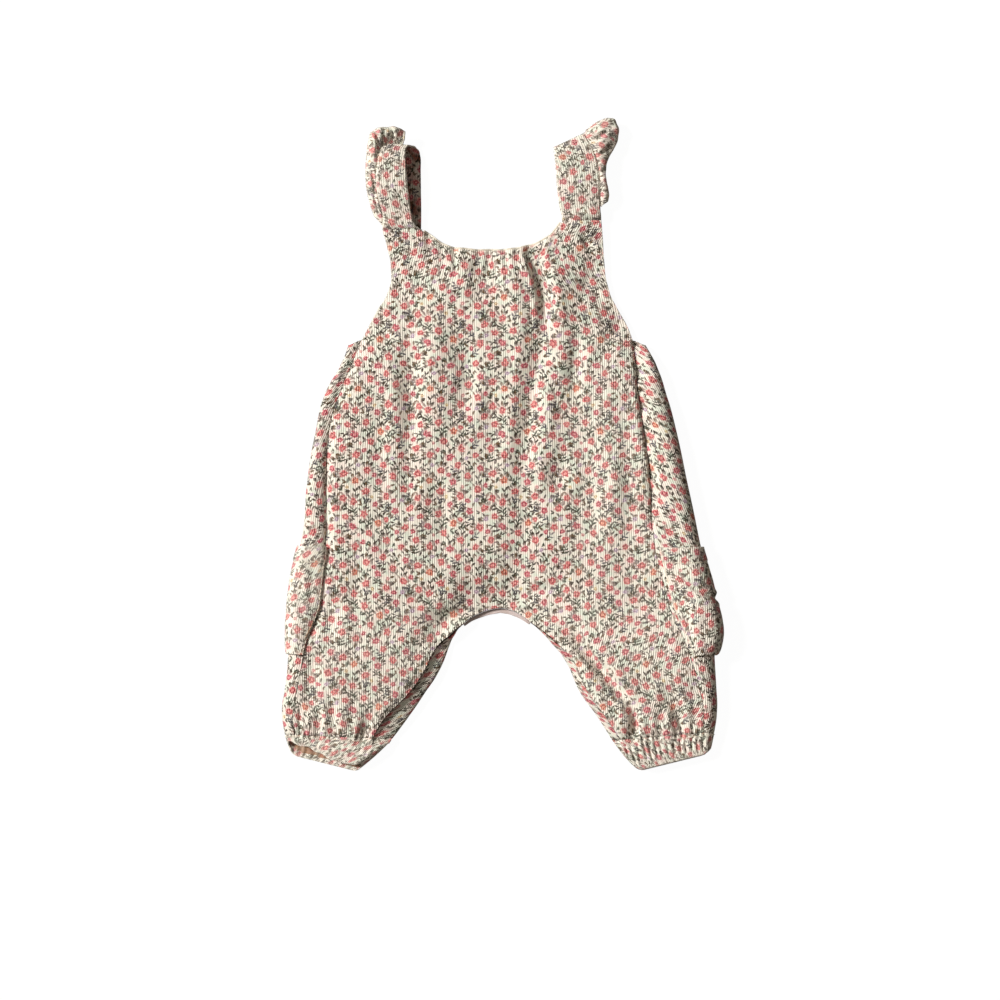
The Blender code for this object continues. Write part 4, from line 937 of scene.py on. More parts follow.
class Print:
    """The cloth's print: one small charted repeat, with its leaves set by rule."""

    def __init__(self, seed: int = 7) -> None:
        """Lays out the repeat.

        Args:
            seed: the seed of its loose leaves.
        """
        self.random = np.random.default_rng(seed)
        self.strokes: list[Stroke] = []
        for blossom in BLOSSOMS:
            self.leaves_under(blossom)
        for sprig in SPRIGS:
            self.branch(sprig)
        self.scatter(LOOSE_LEAVES)

    def leaf(self, x: float, y: float, turn: float, size: float, ink: Ink) -> None:
        """Adds one leaf that starts at a place and points along its turn, in radians."""
        half, thin = LEAF_SIZES[0] / 2 * size, LEAF_SIZES[1] / 2 * size
        middle = x + half * np.cos(turn), y + half * np.sin(turn)
        bend = self.random.uniform(-0.7, 0.7)
        self.strokes.append(Stroke(*middle, half, thin, turn, bend, ink.value))

    def leaves_under(self, blossom: Blossom) -> None:
        """Adds the leaves that hug a blossom's foot, and on a large one a stem with two more."""
        large = blossom.radius > 2.4
        foot = self.emptiest(blossom.x, blossom.y, blossom.radius + 4.0)
        reach = blossom.radius * (0.75 + 0.2 * blossom.wide)
        count = 4 if large else 2
        for i in range(count):
            fan = lerp(-1.0, 1.0, i / (count - 1))
            turn = foot + fan + self.random.uniform(-0.2, 0.2)
            x, y = blossom.x + 0.8 * reach * np.cos(turn), blossom.y + 0.8 * reach * np.sin(turn)
            ink = Ink.MOSS if self.random.random() < 0.75 else Ink.OLIVE
            lean = self.random.uniform(-0.3, 0.3) - 0.3 * fan
            self.leaf(x, y, turn + lean, self.random.uniform(0.7, 1.1), ink)
        if large:
            x, y = blossom.x + reach * np.cos(foot), blossom.y + reach * np.sin(foot)
            self.branch(Sprig(x, y, self.random.uniform(4.0, 6.0), np.degrees(foot), Ink.MOSS), 2)

    def emptiest(self, x: float, y: float, reach: float) -> float:
        """The heading, in radians, in which the repeat is emptiest at some distance."""
        turns = self.random.uniform(-pi, pi) + np.arange(STEM_TRIES) * 2 * pi / STEM_TRIES
        ends = np.stack((x + reach * np.cos(turns), y + reach * np.sin(turns)), axis=1)
        return float(turns[self.room(ends).argmax()])

    def room(self, places: np.ndarray) -> np.ndarray:
        """How far each place is from the nearest motif."""
        taken = [(b.x, b.y, b.radius) for b in BLOSSOMS] + [(s.x, s.y, 0.8) for s in self.strokes]
        taken = np.array(taken)
        away = places[:, None, :] - taken[None, :, :2]
        away -= np.round(away / REPEAT) * REPEAT
        return (np.hypot(away[..., 0], away[..., 1]) - taken[:, 2]).min(axis=1)

    def branch(self, sprig: Sprig, twigs: int = 4) -> None:
        """Adds a stem with twigs to both sides and a leaf at its end."""
        turn = np.radians(sprig.turn)
        half = sprig.length / 2
        x, y = sprig.x + half * np.cos(turn), sprig.y + half * np.sin(turn)
        bend = self.random.uniform(-0.8, 0.8)
        self.strokes.append(Stroke(x, y, half, STEM_WIDTH / 2, turn, bend, sprig.ink.value))
        for i in range(twigs):
            share = lerp(0.25, 0.85, i / max(twigs - 1, 1))
            lean = (0.85 if i % 2 else -0.85) + self.random.uniform(-0.2, 0.2)
            bx = sprig.x + sprig.length * share * np.cos(turn)
            by = sprig.y + sprig.length * share * np.sin(turn)
            self.leaf(bx, by, turn + lean, self.random.uniform(0.65, 0.9), sprig.ink)
        end = sprig.x + sprig.length * np.cos(turn), sprig.y + sprig.length * np.sin(turn)
        self.leaf(*end, turn, 0.7, sprig.ink)

    def scatter(self, count: int) -> None:
        """Adds pairs of loose leaves, each where the repeat is emptiest."""
        for _ in range(count):
            tries = self.random.uniform((0, 0), REPEAT, (60, 2))
            x, y = tries[self.room(tries).argmax()]
            turn = self.random.uniform(-pi, pi)
            ink = (Ink.MOSS, Ink.MOSS, Ink.OLIVE, Ink.TEAL)[self.random.integers(4)]
            size = self.random.uniform(0.7, 1.15)
            self.leaf(x, y, turn, size, ink)
            self.leaf(x, y, turn + self.random.uniform(0.5, 1.2), size * 0.85, ink)

    def stamp(self, mesh: bpy.types.Mesh, shift: tuple) -> None:
        """Writes, for each corner of a mesh, its place within the motifs that are nearest.

        Args:
            mesh: a mesh with its cloth coordinates.
            shift: how far the repeat is moved on this piece, in mm.
        """
        cloth = np.zeros(len(mesh.loops) * 2)
        mesh.uv_layers["cloth"].data.foreach_get("uv", cloth)
        cloth = cloth.reshape(-1, 2) / MM + np.array(shift)
        starts, sizes = np.zeros((2, len(mesh.polygons)), np.int32)
        mesh.polygons.foreach_get("loop_start", starts)
        mesh.polygons.foreach_get("loop_total", sizes)
        face = np.repeat(np.arange(len(starts)), sizes)
        middles = np.stack([np.bincount(face, cloth[:, k]) / sizes for k in (0, 1)], axis=1)
        blossoms = [
            (b.x, b.y, b.radius * b.wide, b.radius, np.radians(b.turn), 0.0, b.petal.value)
            for b in BLOSSOMS
        ]
        jobs = (("blossom", blossoms, BLOSSOM_LAYERS), ("stroke", self.strokes, STROKE_LAYERS))
        for name, motifs, layers in jobs:
            self.write(mesh, name, np.array(motifs, float), layers, cloth, middles, face)

    def write(
        self,
        mesh: bpy.types.Mesh,
        name: str,
        motifs: np.ndarray,
        layers: int,
        cloth: np.ndarray,
        middles: np.ndarray,
        face: np.ndarray,
    ) -> None:
        """Writes the layers of one kind of motif.

        Args:
            mesh: the mesh.
            name: the attributes' name, before their number.
            motifs: rows of middle, half length, half width, heading, bend and tint.
            layers: how many of the nearest motifs are kept.
            cloth: each corner's cloth coordinates.
            middles: each face's.
            face: each corner's face.
        """
        period = np.array(REPEAT)
        turn = motifs[:, 4]
        ahead = np.stack((np.cos(turn), np.sin(turn)), axis=1)
        best = np.empty((len(middles), layers), int)
        for start in range(0, len(middles), 20000):
            away = middles[start : start + 20000, None, :] - motifs[None, :, :2]
            away -= np.round(away / period) * period
            along = np.abs((away * ahead).sum(axis=2))
            across = np.abs(away[..., 1] * ahead[:, 0] - away[..., 0] * ahead[:, 1])
            outside = np.hypot(np.maximum(along - motifs[:, 2], 0), across) - motifs[:, 3]
            nearest = np.argpartition(outside, layers, axis=1)[:, :layers]
            order = np.take_along_axis(outside, nearest, axis=1).argsort(axis=1)
            best[start : start + 20000] = np.take_along_axis(nearest, order, axis=1)
        for layer in range(layers):
            motif = motifs[best[:, layer]]
            turns = np.round((middles - motif[:, :2]) / period) * period
            motif, turns = motif[face], turns[face]
            away = cloth - motif[:, :2] - turns
            c, s = np.cos(motif[:, 4]), np.sin(motif[:, 4])
            along = (away[:, 0] * c + away[:, 1] * s) / motif[:, 2]
            across = (away[:, 1] * c - away[:, 0] * s + motif[:, 5] * (along**2 - 0.3)) / motif[:, 3]
            values = np.stack((along, across, motif[:, 6]), axis=1).astype(np.float32)
            made = mesh.attributes.new(f"{name}_{layer}", "FLOAT_VECTOR", "CORNER")
            made.data.foreach_set("vector", values.ravel())


# Finishes ----------------------------------------------------------------------------------------


def colour(red: int, green: int, blue: int) -> tuple:
    """A colour given as it looks on screen, 0 to 255, in linear light."""
    out = []
    for value in (red, green, blue):
        v = value / 255
        out.append(v / 12.92 if v <= 0.04045 else ((v + 0.055) / 1.055) ** 2.4)
    return (*out, 1.0)


STROKE_INKS = {
    Ink.MOSS: colour(56, 42, 30),
    Ink.OLIVE: colour(96, 72, 44),
    Ink.TEAL: colour(60, 66, 50),
    Ink.SLATE: colour(68, 64, 72),
}
PETAL_TINTS = {
    Petal.CORAL: colour(230, 120, 120),
    Petal.ROSE: colour(216, 104, 118),
    Petal.APRICOT: colour(232, 138, 106),
    Petal.BLUSH: colour(238, 186, 178),
    Petal.LILAC: colour(208, 196, 216),
    Petal.BUTTER: colour(236, 222, 166),
}


class Graph:
    """A node tree while it is wired: each call adds a node and gives back its output."""

    def __init__(self, tree: bpy.types.NodeTree) -> None:
        """Keeps the tree."""
        self.tree = tree

    def add(self, kind: str, inputs: dict | None = None, **settings: object) -> bpy.types.Node:
        """Adds a node.

        Args:
            kind: its Blender name.
            inputs: its inputs by name or number, each a value or another node's output.
            settings: its properties.

        Returns:
            The node.
        """
        node = self.tree.nodes.new(kind)
        for name, value in settings.items():
            setattr(node, name, value)
        self.fill(node, inputs or {})
        return node

    def fill(self, node: bpy.types.Node, inputs: dict) -> None:
        """Fills a node's inputs.

        Args:
            node: the node.
            inputs: its inputs by name or number, each a value or another node's output.
        """
        for key, value in inputs.items():
            if isinstance(value, bpy.types.NodeSocket):
                self.tree.links.new(value, node.inputs[key])
            else:
                node.inputs[key].default_value = value

    def group(self, tree: bpy.types.NodeTree, inputs: dict) -> bpy.types.bpy_prop_collection:
        """Places a group and gives its outputs."""
        return self.add("ShaderNodeGroup", inputs, node_tree=tree).outputs

    def parts(self, vector: object) -> bpy.types.bpy_prop_collection:
        """Splits a vector in three."""
        return self.add("ShaderNodeSeparateXYZ", {0: vector}).outputs

    def times(self, a: object, b: object) -> bpy.types.NodeSocket:
        """Multiplies two values."""
        return self.maths("MULTIPLY", a, b)

    def scaled(self, value: object, by: object, plus: object) -> bpy.types.NodeSocket:
        """Multiplies a value and adds to it."""
        return self.maths("MULTIPLY_ADD", value, by, plus)

    def bump(self, height: object, depth: float) -> bpy.types.NodeSocket:
        """Adds a bump as deep as given, in mm."""
        return self.add("ShaderNodeBump", {"Height": height, "Distance": depth * MM}).outputs[0]

    def maths(self, operation: str, *values: object) -> bpy.types.NodeSocket:
        """Adds a Math node."""
        return self.add("ShaderNodeMath", dict(enumerate(values)), operation=operation).outputs[0]

    def step(self, value: object, low: float, high: float) -> bpy.types.NodeSocket:
        """Adds a soft step from 0 at low to 1 at high."""
        inputs = {"Value": value, "From Min": low, "From Max": high}
        node = self.add("ShaderNodeMapRange", inputs, interpolation_type="SMOOTHSTEP")
        return node.outputs["Result"]

    def mix(self, share: object, a: object, b: object, blend: str = "MIX") -> bpy.types.NodeSocket:
        """Adds a colour mix."""
        node = self.add("ShaderNodeMix", {0: share, 6: a, 7: b}, data_type="RGBA", blend_type=blend)
        return node.outputs[2]

    def length(self, x: object, y: object) -> bpy.types.NodeSocket:
        """Adds the length of a flat vector."""
        squares = self.maths("POWER", x, 2.0), self.maths("POWER", y, 2.0)
        return self.maths("SQRT", self.maths("ADD", *squares))

    def palette(self, place: object, colours: list[tuple]) -> bpy.types.NodeSocket:
        """Adds a ramp of flat colours, chosen by a whole number."""
        share = self.maths("DIVIDE", self.maths("ADD", place, 0.5), float(len(colours)))
        node = self.add("ShaderNodeValToRGB", {"Fac": share})
        ramp = node.color_ramp
        ramp.interpolation = "CONSTANT"
        ramp.elements.remove(ramp.elements[1])
        ramp.elements[0].color = colours[0]
        for i, tint in enumerate(colours[1:], 1):
            ramp.elements.new(i / len(colours)).color = tint
        return node.outputs["Color"]

    def attribute(self, name: str, output: str) -> bpy.types.NodeSocket:
        """Adds an Attribute node and gives one of its outputs."""
        return self.add("ShaderNodeAttribute", attribute_name=name).outputs[output]

    def noise(
        self, place: object, scale: float, detail: float = 2.0, three: bool = False
    ) -> bpy.types.NodeSocket:
        """Adds a noise texture and gives its value, or three values as a colour."""
        inputs = {"Vector": place, "Scale": scale, "Detail": detail}
        return self.add("ShaderNodeTexNoise", inputs).outputs[1 if three else 0]

    def nudged(self, place: object, by: object, reach: tuple) -> bpy.types.NodeSocket:
        """Moves a place by three noises that lie about 0.5, each times its reach."""
        inputs = {0: by, 1: reach, 2: place}
        moved = self.add("ShaderNodeVectorMath", inputs, operation="MULTIPLY_ADD").outputs[0]
        back = {0: moved, 1: tuple(r / 2 for r in reach)}
        return self.add("ShaderNodeVectorMath", back, operation="SUBTRACT").outputs[0]


def new_group(name: str, inputs: dict, outputs: dict) -> tuple:
    """Starts a shader node group.

    Args:
        name: its name.
        inputs: the kind of each input socket, by name.
        outputs: the kind of each output socket, by name.

    Returns:
        The group's graph, its inputs and its output node.
    """
    tree = bpy.data.node_groups.new(name, "ShaderNodeTree")
    for side, sockets in (("INPUT", inputs), ("OUTPUT", outputs)):
        for socket, kind in sockets.items():
            tree.interface.new_socket(socket, in_out=side, socket_type=f"NodeSocket{kind}")
    graph = Graph(tree)
    return graph, graph.add("NodeGroupInput").outputs, graph.add("NodeGroupOutput")


def blossom_group() -> bpy.types.NodeTree:
    """One layer of blossoms: soft painted petals with dark marks, pale flecks and a pink halo."""
    sockets = {"Ground": "Color", "Place": "Vector", "Coarse": "Vector", "Fine": "Vector"}
    g, inside, out = new_group("print_blossom", sockets, {"Color": "Color"})
    place = g.nudged(inside["Place"], inside["Coarse"], (0.8, 0.8, 0.0))
    x, y, tone = g.parts(place)
    rough, marks, flecks = g.parts(inside["Fine"])
    broken = g.parts(inside["Coarse"])[2]
    radius = g.length(x, y)
    around = g.maths("ARCTAN2", y, x)
    lobes = g.maths("COSINE", g.times(around, 5.0))
    edge = g.scaled(rough, 0.7, g.scaled(lobes, 0.06, 0.445))
    mask = g.step(g.maths("SUBTRACT", edge, radius), -0.14, 0.14)
    tint = g.palette(tone, list(PETAL_TINTS.values()))
    dark = g.mix(1.0, tint, colour(150, 92, 108), "MULTIPLY")
    pale = g.mix(0.6, tint, colour(255, 222, 208))
    lower = g.step(g.maths("SUBTRACT", x, y), -0.7, 1.1)
    rim = g.times(g.step(radius, 0.5, 0.95), g.scaled(lower, 0.65, 0.25))
    curl = g.maths("SINE", g.maths("ADD", g.times(radius, 8.5), g.times(broken, 9.0)))
    curl = g.times(g.step(curl, 0.15, 0.7), g.step(radius, 0.18, 0.34))
    spots = g.times(g.step(marks, 0.47, 0.56), g.step(radius, 0.1, 0.4))
    inner = g.maths("MAXIMUM", g.times(curl, 0.9), g.times(spots, 0.5))
    body = g.mix(g.maths("MAXIMUM", rim, inner), tint, dark)
    heart = g.times(g.step(radius, 0.4, 0.1), 0.5)
    light = g.maths("MAXIMUM", heart, g.times(g.step(flecks, 0.54, 0.64), 0.6))
    flower = g.mix(light, body, pale)
    halo = g.times(g.step(radius, 1.75, 0.9), 0.38)
    ground = g.mix(halo, inside["Ground"], g.mix(0.76, tint, colour(255, 242, 230)))
    g.fill(out, {"Color": g.mix(mask, ground, flower)})
    return g.tree


def stroke_group() -> bpy.types.NodeTree:
    """One layer of leaves and stems: pointed brush strokes, a little uneven in strength."""
    sockets = {"Ground": "Color", "Place": "Vector", "Coarse": "Vector", "Fine": "Vector"}
    g, inside, out = new_group("print_stroke", sockets, {"Color": "Color"})
    place = g.nudged(inside["Place"], inside["Fine"], (0.3, 1.3, 0.0))
    along, across, tone = g.parts(place)
    lens = g.maths("SUBTRACT", 1.0, g.maths("POWER", g.maths("ABSOLUTE", along), 2.4))
    room = g.maths("SUBTRACT", lens, g.maths("ABSOLUTE", across))
    mask = g.step(room, -0.2, 0.3)
    uneven = g.parts(inside["Coarse"])[2]
    tint = g.palette(tone, list(STROKE_INKS.values()))
    strength = g.scaled(g.step(uneven, 0.38, 0.56), 0.22, 0.78)
    g.fill(out, {"Color": g.mix(g.times(mask, strength), inside["Ground"], tint)})
    return g.tree


def wale_group() -> bpy.types.NodeTree:
    """The ribs of needlecord: a height, how deep in a groove a point is, and an uneven nap."""
    g, inside, out = new_group(
        "needlecord_wales",
        {"Cloth": "Vector", "Pitch": "Float"},
        {"Height": "Float", "Groove": "Float", "Nap": "Float"},
    )
    parts = g.parts(inside["Cloth"])
    wander = g.times(g.noise(inside["Cloth"], 60.0, 1.0), 0.0005)
    turns = g.maths("DIVIDE", g.maths("ADD", parts[0], wander), inside["Pitch"])
    wave = g.maths("ABSOLUTE", g.maths("SINE", g.times(turns, pi)))
    rib = g.maths("POWER", wave, 0.65)
    nap = g.noise(inside["Cloth"], 2600.0, 3.0)
    bruised = g.noise(inside["Cloth"], 45.0, 3.0)
    height = g.times(rib, g.scaled(bruised, 0.5, 0.7))
    g.fill(out, {"Height": g.scaled(nap, 0.22, height), "Groove": g.step(wave, 0.75, 0.1), "Nap": nap})
    return g.tree


def print_group(blossom: bpy.types.NodeTree, stroke: bpy.types.NodeTree) -> bpy.types.NodeTree:
    """The whole print on its ground, read from the piece's own attributes.

    Args:
        blossom: the group that draws a layer of blossoms.
        stroke: the group that draws a layer of strokes.

    Returns:
        The group.
    """
    g, inside, out = new_group(
        "flower_print", {"Ground": "Color", "Cloth": "Vector"}, {"Color": "Color"}
    )
    washes = g.parts(g.noise(inside["Cloth"], 105.0, 1.0, True))
    green = g.times(g.step(washes[0], 0.46, 0.62), 0.75)
    pink = g.times(g.step(washes[1], 0.52, 0.66), 0.45)
    made = g.mix(green, inside["Ground"], colour(216, 225, 208))
    made = g.mix(pink, made, colour(243, 222, 213))
    shared = {
        "Coarse": g.noise(inside["Cloth"], 420.0, 1.0, True),
        "Fine": g.noise(inside["Cloth"], 1150.0, 1.0, True),
    }
    for name, layers, group in (("stroke", STROKE_LAYERS, stroke), ("blossom", BLOSSOM_LAYERS, blossom)):
        for layer in reversed(range(layers)):
            place = g.attribute(f"{name}_{layer}", "Vector")
            made = g.group(group, {"Ground": made, "Place": place, **shared})["Color"]
    g.fill(out, {"Color": made})
    return g.tree


class Effects:
    """The shader node groups that the finishes share, each built once."""

    def __init__(self) -> None:
        """Builds the groups."""
        self.wales = wale_group()
        self.print = print_group(blossom_group(), stroke_group())


def blank_material(name: str) -> tuple:
    """Starts a material.

    Args:
        name: its name.

    Returns:
        The material, its graph and its Principled shader.
    """
    material = bpy.data.materials.new(name)
    material.use_nodes = True
    return material, Graph(material.node_tree), material.node_tree.nodes["Principled BSDF"]


@dataclass(frozen=True)
class Needlecord:
    """Printed needlecord with fine wales, paler along its rubbed folded edges; its fade is painted light,
    paling whole pieces that stand in brighter light.
    """

    name: str
    ground: tuple = colour(241, 236, 222)
    # fade is painted light: an even share of paler colour over the whole piece, for the brighter light
    # that falls on it
    fade: float = 0.0
    hem_rub_and_painted_light: float = 0.5
    pitch: float = 1.6
    rib_height: float = 0.36
    groove_shade: float = 0.18
    sheen: float = 0.18
    nap: tuple = colour(246, 240, 226)

    def build(self, effects: Effects) -> bpy.types.Material:
        """Makes the material."""
        material, g, shader = blank_material(self.name)
        cloth = g.add("ShaderNodeUVMap", uv_map="cloth").outputs[0]
        wales = g.group(effects.wales, {"Cloth": cloth, "Pitch": self.pitch * MM})
        printed = g.group(effects.print, {"Ground": self.ground, "Cloth": cloth})["Color"]
        # Paler towards the finished edges where the cloth is rubbed, plus painted light: the fade, and
        # the paler legs and right side that the front carries in its hem attribute
        rubbed_and_painted_light = g.scaled(g.attribute("hem", "Fac"), self.hem_rub_and_painted_light, self.fade)
        base = g.mix(rubbed_and_painted_light, printed, colour(248, 241, 226))
        grooves = g.times(wales["Groove"], self.groove_shade)
        base = g.mix(grooves, base, g.mix(1.0, base, colour(176, 156, 136), "MULTIPLY"))
        tips = g.times(g.step(wales["Nap"], 0.52, 0.7), 0.22)
        base = g.mix(tips, base, self.nap)
        looks = {
            "Base Color": base,
            "Roughness": g.scaled(wales["Nap"], 0.15, 0.8),
            "Normal": g.bump(wales["Height"], self.rib_height),
            "Sheen Weight": self.sheen,
            "Sheen Roughness": 0.45,
            "Specular IOR Level": 0.25,
        }
        g.fill(shader, looks)
        return material


@dataclass(frozen=True)
class WrongSide:
    """The plain wrong side of the cloth: a flat weave with the print's ghost showing through. Its brown
    tint is painted shade, darker than the cloth's own wrong side, for the shadowed inside of the left
    cuff's mouth.
    """

    name: str = "cord_wrong_side_painted_shade"
    # painted shade: a brown darker than the cloth's own wrong side
    tint: tuple = colour(172, 132, 104)

    def build(self, effects: Effects) -> bpy.types.Material:
        """Makes the material."""
        material, g, shader = blank_material(self.name)
        cloth = g.add("ShaderNodeUVMap", uv_map="cloth").outputs[0]
        printed = g.group(effects.print, {"Ground": self.tint, "Cloth": cloth})["Color"]
        base = g.mix(0.28, self.tint, printed)
        slant = {"Vector": cloth, "Scale": 420.0, "Distortion": 1.0}
        weave = g.add("ShaderNodeTexWave", slant, bands_direction="DIAGONAL").outputs[1]
        base = g.mix(g.times(weave, 0.2), base, colour(150, 126, 106))
        looks = {
            "Base Color": base,
            "Roughness": 0.92,
            "Normal": g.bump(weave, 0.1),
            "Specular IOR Level": 0.2,
        }
        g.fill(shader, looks)
        return material


@dataclass(frozen=True)
class PlainTrim:
    """Plain cotton trim: a fine rib across its length, slightly soiled in random blotches."""

    name: str
    tint: tuple
    rib: float = 0.7

    def build(self) -> bpy.types.Material:
        """Makes the material."""
        material, g, shader = blank_material(self.name)
        place = g.add("ShaderNodeTexCoord").outputs["Object"]
        ribbed = {"Vector": place, "Scale": 0.32 / (self.rib * MM), "Distortion": 2.0, "Detail": 1.0}
        ribs = g.add("ShaderNodeTexWave", ribbed).outputs[1]
        blotch = g.step(g.noise(place, 160.0, 3.0), 0.4, 0.7)
        soiled = g.mix(1.0, self.tint, colour(214, 200, 184), "MULTIPLY")
        looks = {
            "Base Color": g.mix(g.times(blotch, 0.35), self.tint, soiled),
            "Roughness": 0.85,
            "Normal": g.bump(ribs, 0.08),
            "Sheen Weight": 0.15,
        }
        g.fill(shader, looks)
        return material


# Repeated forms, made by Geometry Nodes ----------------------------------------------------------


def node_tree(name: str, sizes: dict) -> tuple:
    """Starts a geometry node tree with a path, named sizes and a material.

    Args:
        name: the tree's name.
        sizes: its number inputs and their values.

    Returns:
        The graph, its inputs and its output node.
    """
    tree = bpy.data.node_groups.new(name, "GeometryNodeTree")
    face = tree.interface
    face.new_socket("Path", in_out="INPUT", socket_type="NodeSocketGeometry")
    for key, value in sizes.items():
        face.new_socket(key, in_out="INPUT", socket_type="NodeSocketFloat").default_value = value
    face.new_socket("Seed", in_out="INPUT", socket_type="NodeSocketInt").default_value = 3
    face.new_socket("Finish", in_out="INPUT", socket_type="NodeSocketMaterial")
    face.new_socket("Geometry", in_out="OUTPUT", socket_type="NodeSocketGeometry")
    graph = Graph(tree)
    return graph, graph.add("NodeGroupInput").outputs, graph.add("NodeGroupOutput")


def spaced_path(g: Graph, inside: dict, step: str) -> bpy.types.NodeSocket:
    """The tree's path as a curve with a point at every step."""
    line = g.add("GeometryNodeMeshToCurve", {0: inside["Path"]}).outputs[0]
    spacing = {"Curve": line, "Length": inside[step]}
    return g.add("GeometryNodeResampleCurve", spacing, mode="LENGTH").outputs[0]


def finish_tree(g: Graph, inside: dict, out: bpy.types.Node, made: bpy.types.NodeSocket) -> None:
    """Ends a tree: its forms are made real and given their finish."""
    real = g.add("GeometryNodeRealizeInstances", {0: made}).outputs[0]
    finish = {"Geometry": real, "Material": inside["Finish"]}
    g.fill(out, {0: g.add("GeometryNodeSetMaterial", finish).outputs[0]})


def stitch_tree() -> bpy.types.NodeTree:
    """A run of stitches along a path, each a short rounded thread that dips at its ends."""
    g, inside, out = node_tree("stitch_run", {"Pitch": 0.0028, "Length": 0.0021, "Thread": 0.00022})
    spaced = spaced_path(g, inside, "Pitch")
    shape = {"Vertices": 6, "Side Segments": 1, "Radius": inside["Thread"], "Depth": inside["Length"]}
    thread = g.add("GeometryNodeMeshCylinder", shape).outputs["Mesh"]
    ahead = g.add("GeometryNodeInputTangent").outputs[0]
    turn = g.add("FunctionNodeAlignRotationToVector", {"Vector": ahead}, axis="Z").outputs[0]
    limits = {"Min": 0.88, "Max": 1.12, "Seed": inside["Seed"]}
    size = g.add("FunctionNodeRandomValue", limits, data_type="FLOAT").outputs[1]
    placing = {"Points": spaced, "Instance": thread, "Rotation": turn, "Scale": size}
    finish_tree(g, inside, out, g.add("GeometryNodeInstanceOnPoints", placing).outputs[0])
    return g.tree


def sweep_tree() -> bpy.types.NodeTree:
    """A round cord swept along a path, closed at both ends."""
    g, inside, out = node_tree("rolled_edge", {"Step": 0.0012, "Radius": 0.0008})
    spaced = spaced_path(g, inside, "Step")
    circle = {"Resolution": 10, "Radius": inside["Radius"]}
    ring = g.add("GeometryNodeCurvePrimitiveCircle", circle).outputs[0]
    sweep = {"Curve": spaced, "Profile Curve": ring, "Fill Caps": True}
    tube = g.add("GeometryNodeCurveToMesh", sweep).outputs[0]
    finish_tree(g, inside, out, g.add("GeometryNodeSetShadeSmooth", {"Geometry": tube}).outputs[0])
    return g.tree


def grown(name: str, paths: list[np.ndarray], tree: bpy.types.NodeTree, values: dict) -> bpy.types.Object:
    """Runs a geometry node tree on paths and keeps the result as a plain mesh.

    Args:
        name: the piece's name.
        paths: lines of points, in mm.
        tree: the tree.
        values: the tree's inputs by name, with sizes in metres.

    Returns:
        The piece.
    """
    points = np.concatenate(paths) * MM
    edges, first = [], 0
    for path in paths:
        edges += [(first + i, first + i + 1) for i in range(len(path) - 1)]
        first += len(path)
    mesh = bpy.data.meshes.new(name)
    mesh.from_pydata(points.tolist(), edges, [])
    obj = bpy.data.objects.new(name, mesh)
    bpy.context.scene.collection.objects.link(obj)
    modifier = obj.modifiers.new("run", "NODES")
    modifier.node_group = tree
    for item in tree.interface.items_tree:
        if item.item_type == "SOCKET" and item.in_out == "INPUT" and item.name in values:
            modifier[item.identifier] = values[item.name]
    settle(obj)
    return obj


# The garment -------------------------------------------------------------------------------------


@dataclass
class Workshop:
    """What every piece is made with: the garment's form, its print and its finishes."""

    form: Form
    print: Print
    materials: dict
    stitches: bpy.types.NodeTree
    sweep: bpy.types.NodeTree

    def dress(
        self,
        obj: bpy.types.Object,
        node: str,
        slot: str,
        shift: tuple,
        painted_shade_inside: bool = False,
        finish: str = "",
    ) -> None:
        """Prints and finishes a piece of cloth, and puts it in place of its solid.

        Args:
            obj: the piece.
            node: the solid that it stands for.
            slot: the record's material slot.
            shift: where the repeat falls on it, in mm.
            painted_shade_inside: whether its inner face takes the dark red-brown print, painted shade as
                if under the strap's front run.
            finish: its finish, where that isn't the one with the slot's name.
        """
        self.print.stamp(obj.data, shift)
        obj.data.materials[0] = self.materials[finish or slot]
        obj.data.materials[1] = self.materials["cord_painted_shade_lining" if painted_shade_inside else "cord_wrong_side_painted_shade"]
        self.place(obj, slot, node)

    def place(self, obj: bpy.types.Object, slot: str, node: str = "") -> None:
        """Puts a piece on the garment.

        Args:
            obj: the piece.
            slot: the record's material slot; not used.
            node: the solid that it stands for, if it has one.
        """
        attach(obj, "root")
        if node:
            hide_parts(node)
        log.info("%s: %d faces", obj.name, len(obj.data.polygons))

    def sew(self, name: str, paths: list[np.ndarray], slot: str, length: float = 2.0) -> bpy.types.Object:
        """Sews a run of stitches.

        Args:
            name: the piece's name.
            paths: the lines it follows, in mm.
            slot: the record's material slot, passed on to place; the stitches take the thread's finish.
            length: a stitch's length, in mm.

        Returns:
            The stitches.
        """
        values = {
            "Pitch": (length + 0.7) * MM,
            "Length": length * MM,
            "Thread": 0.22 * MM,
            "Finish": self.materials["thread"],
        }
        obj = grown(name, paths, self.stitches, values)
        self.place(obj, slot)
        return obj


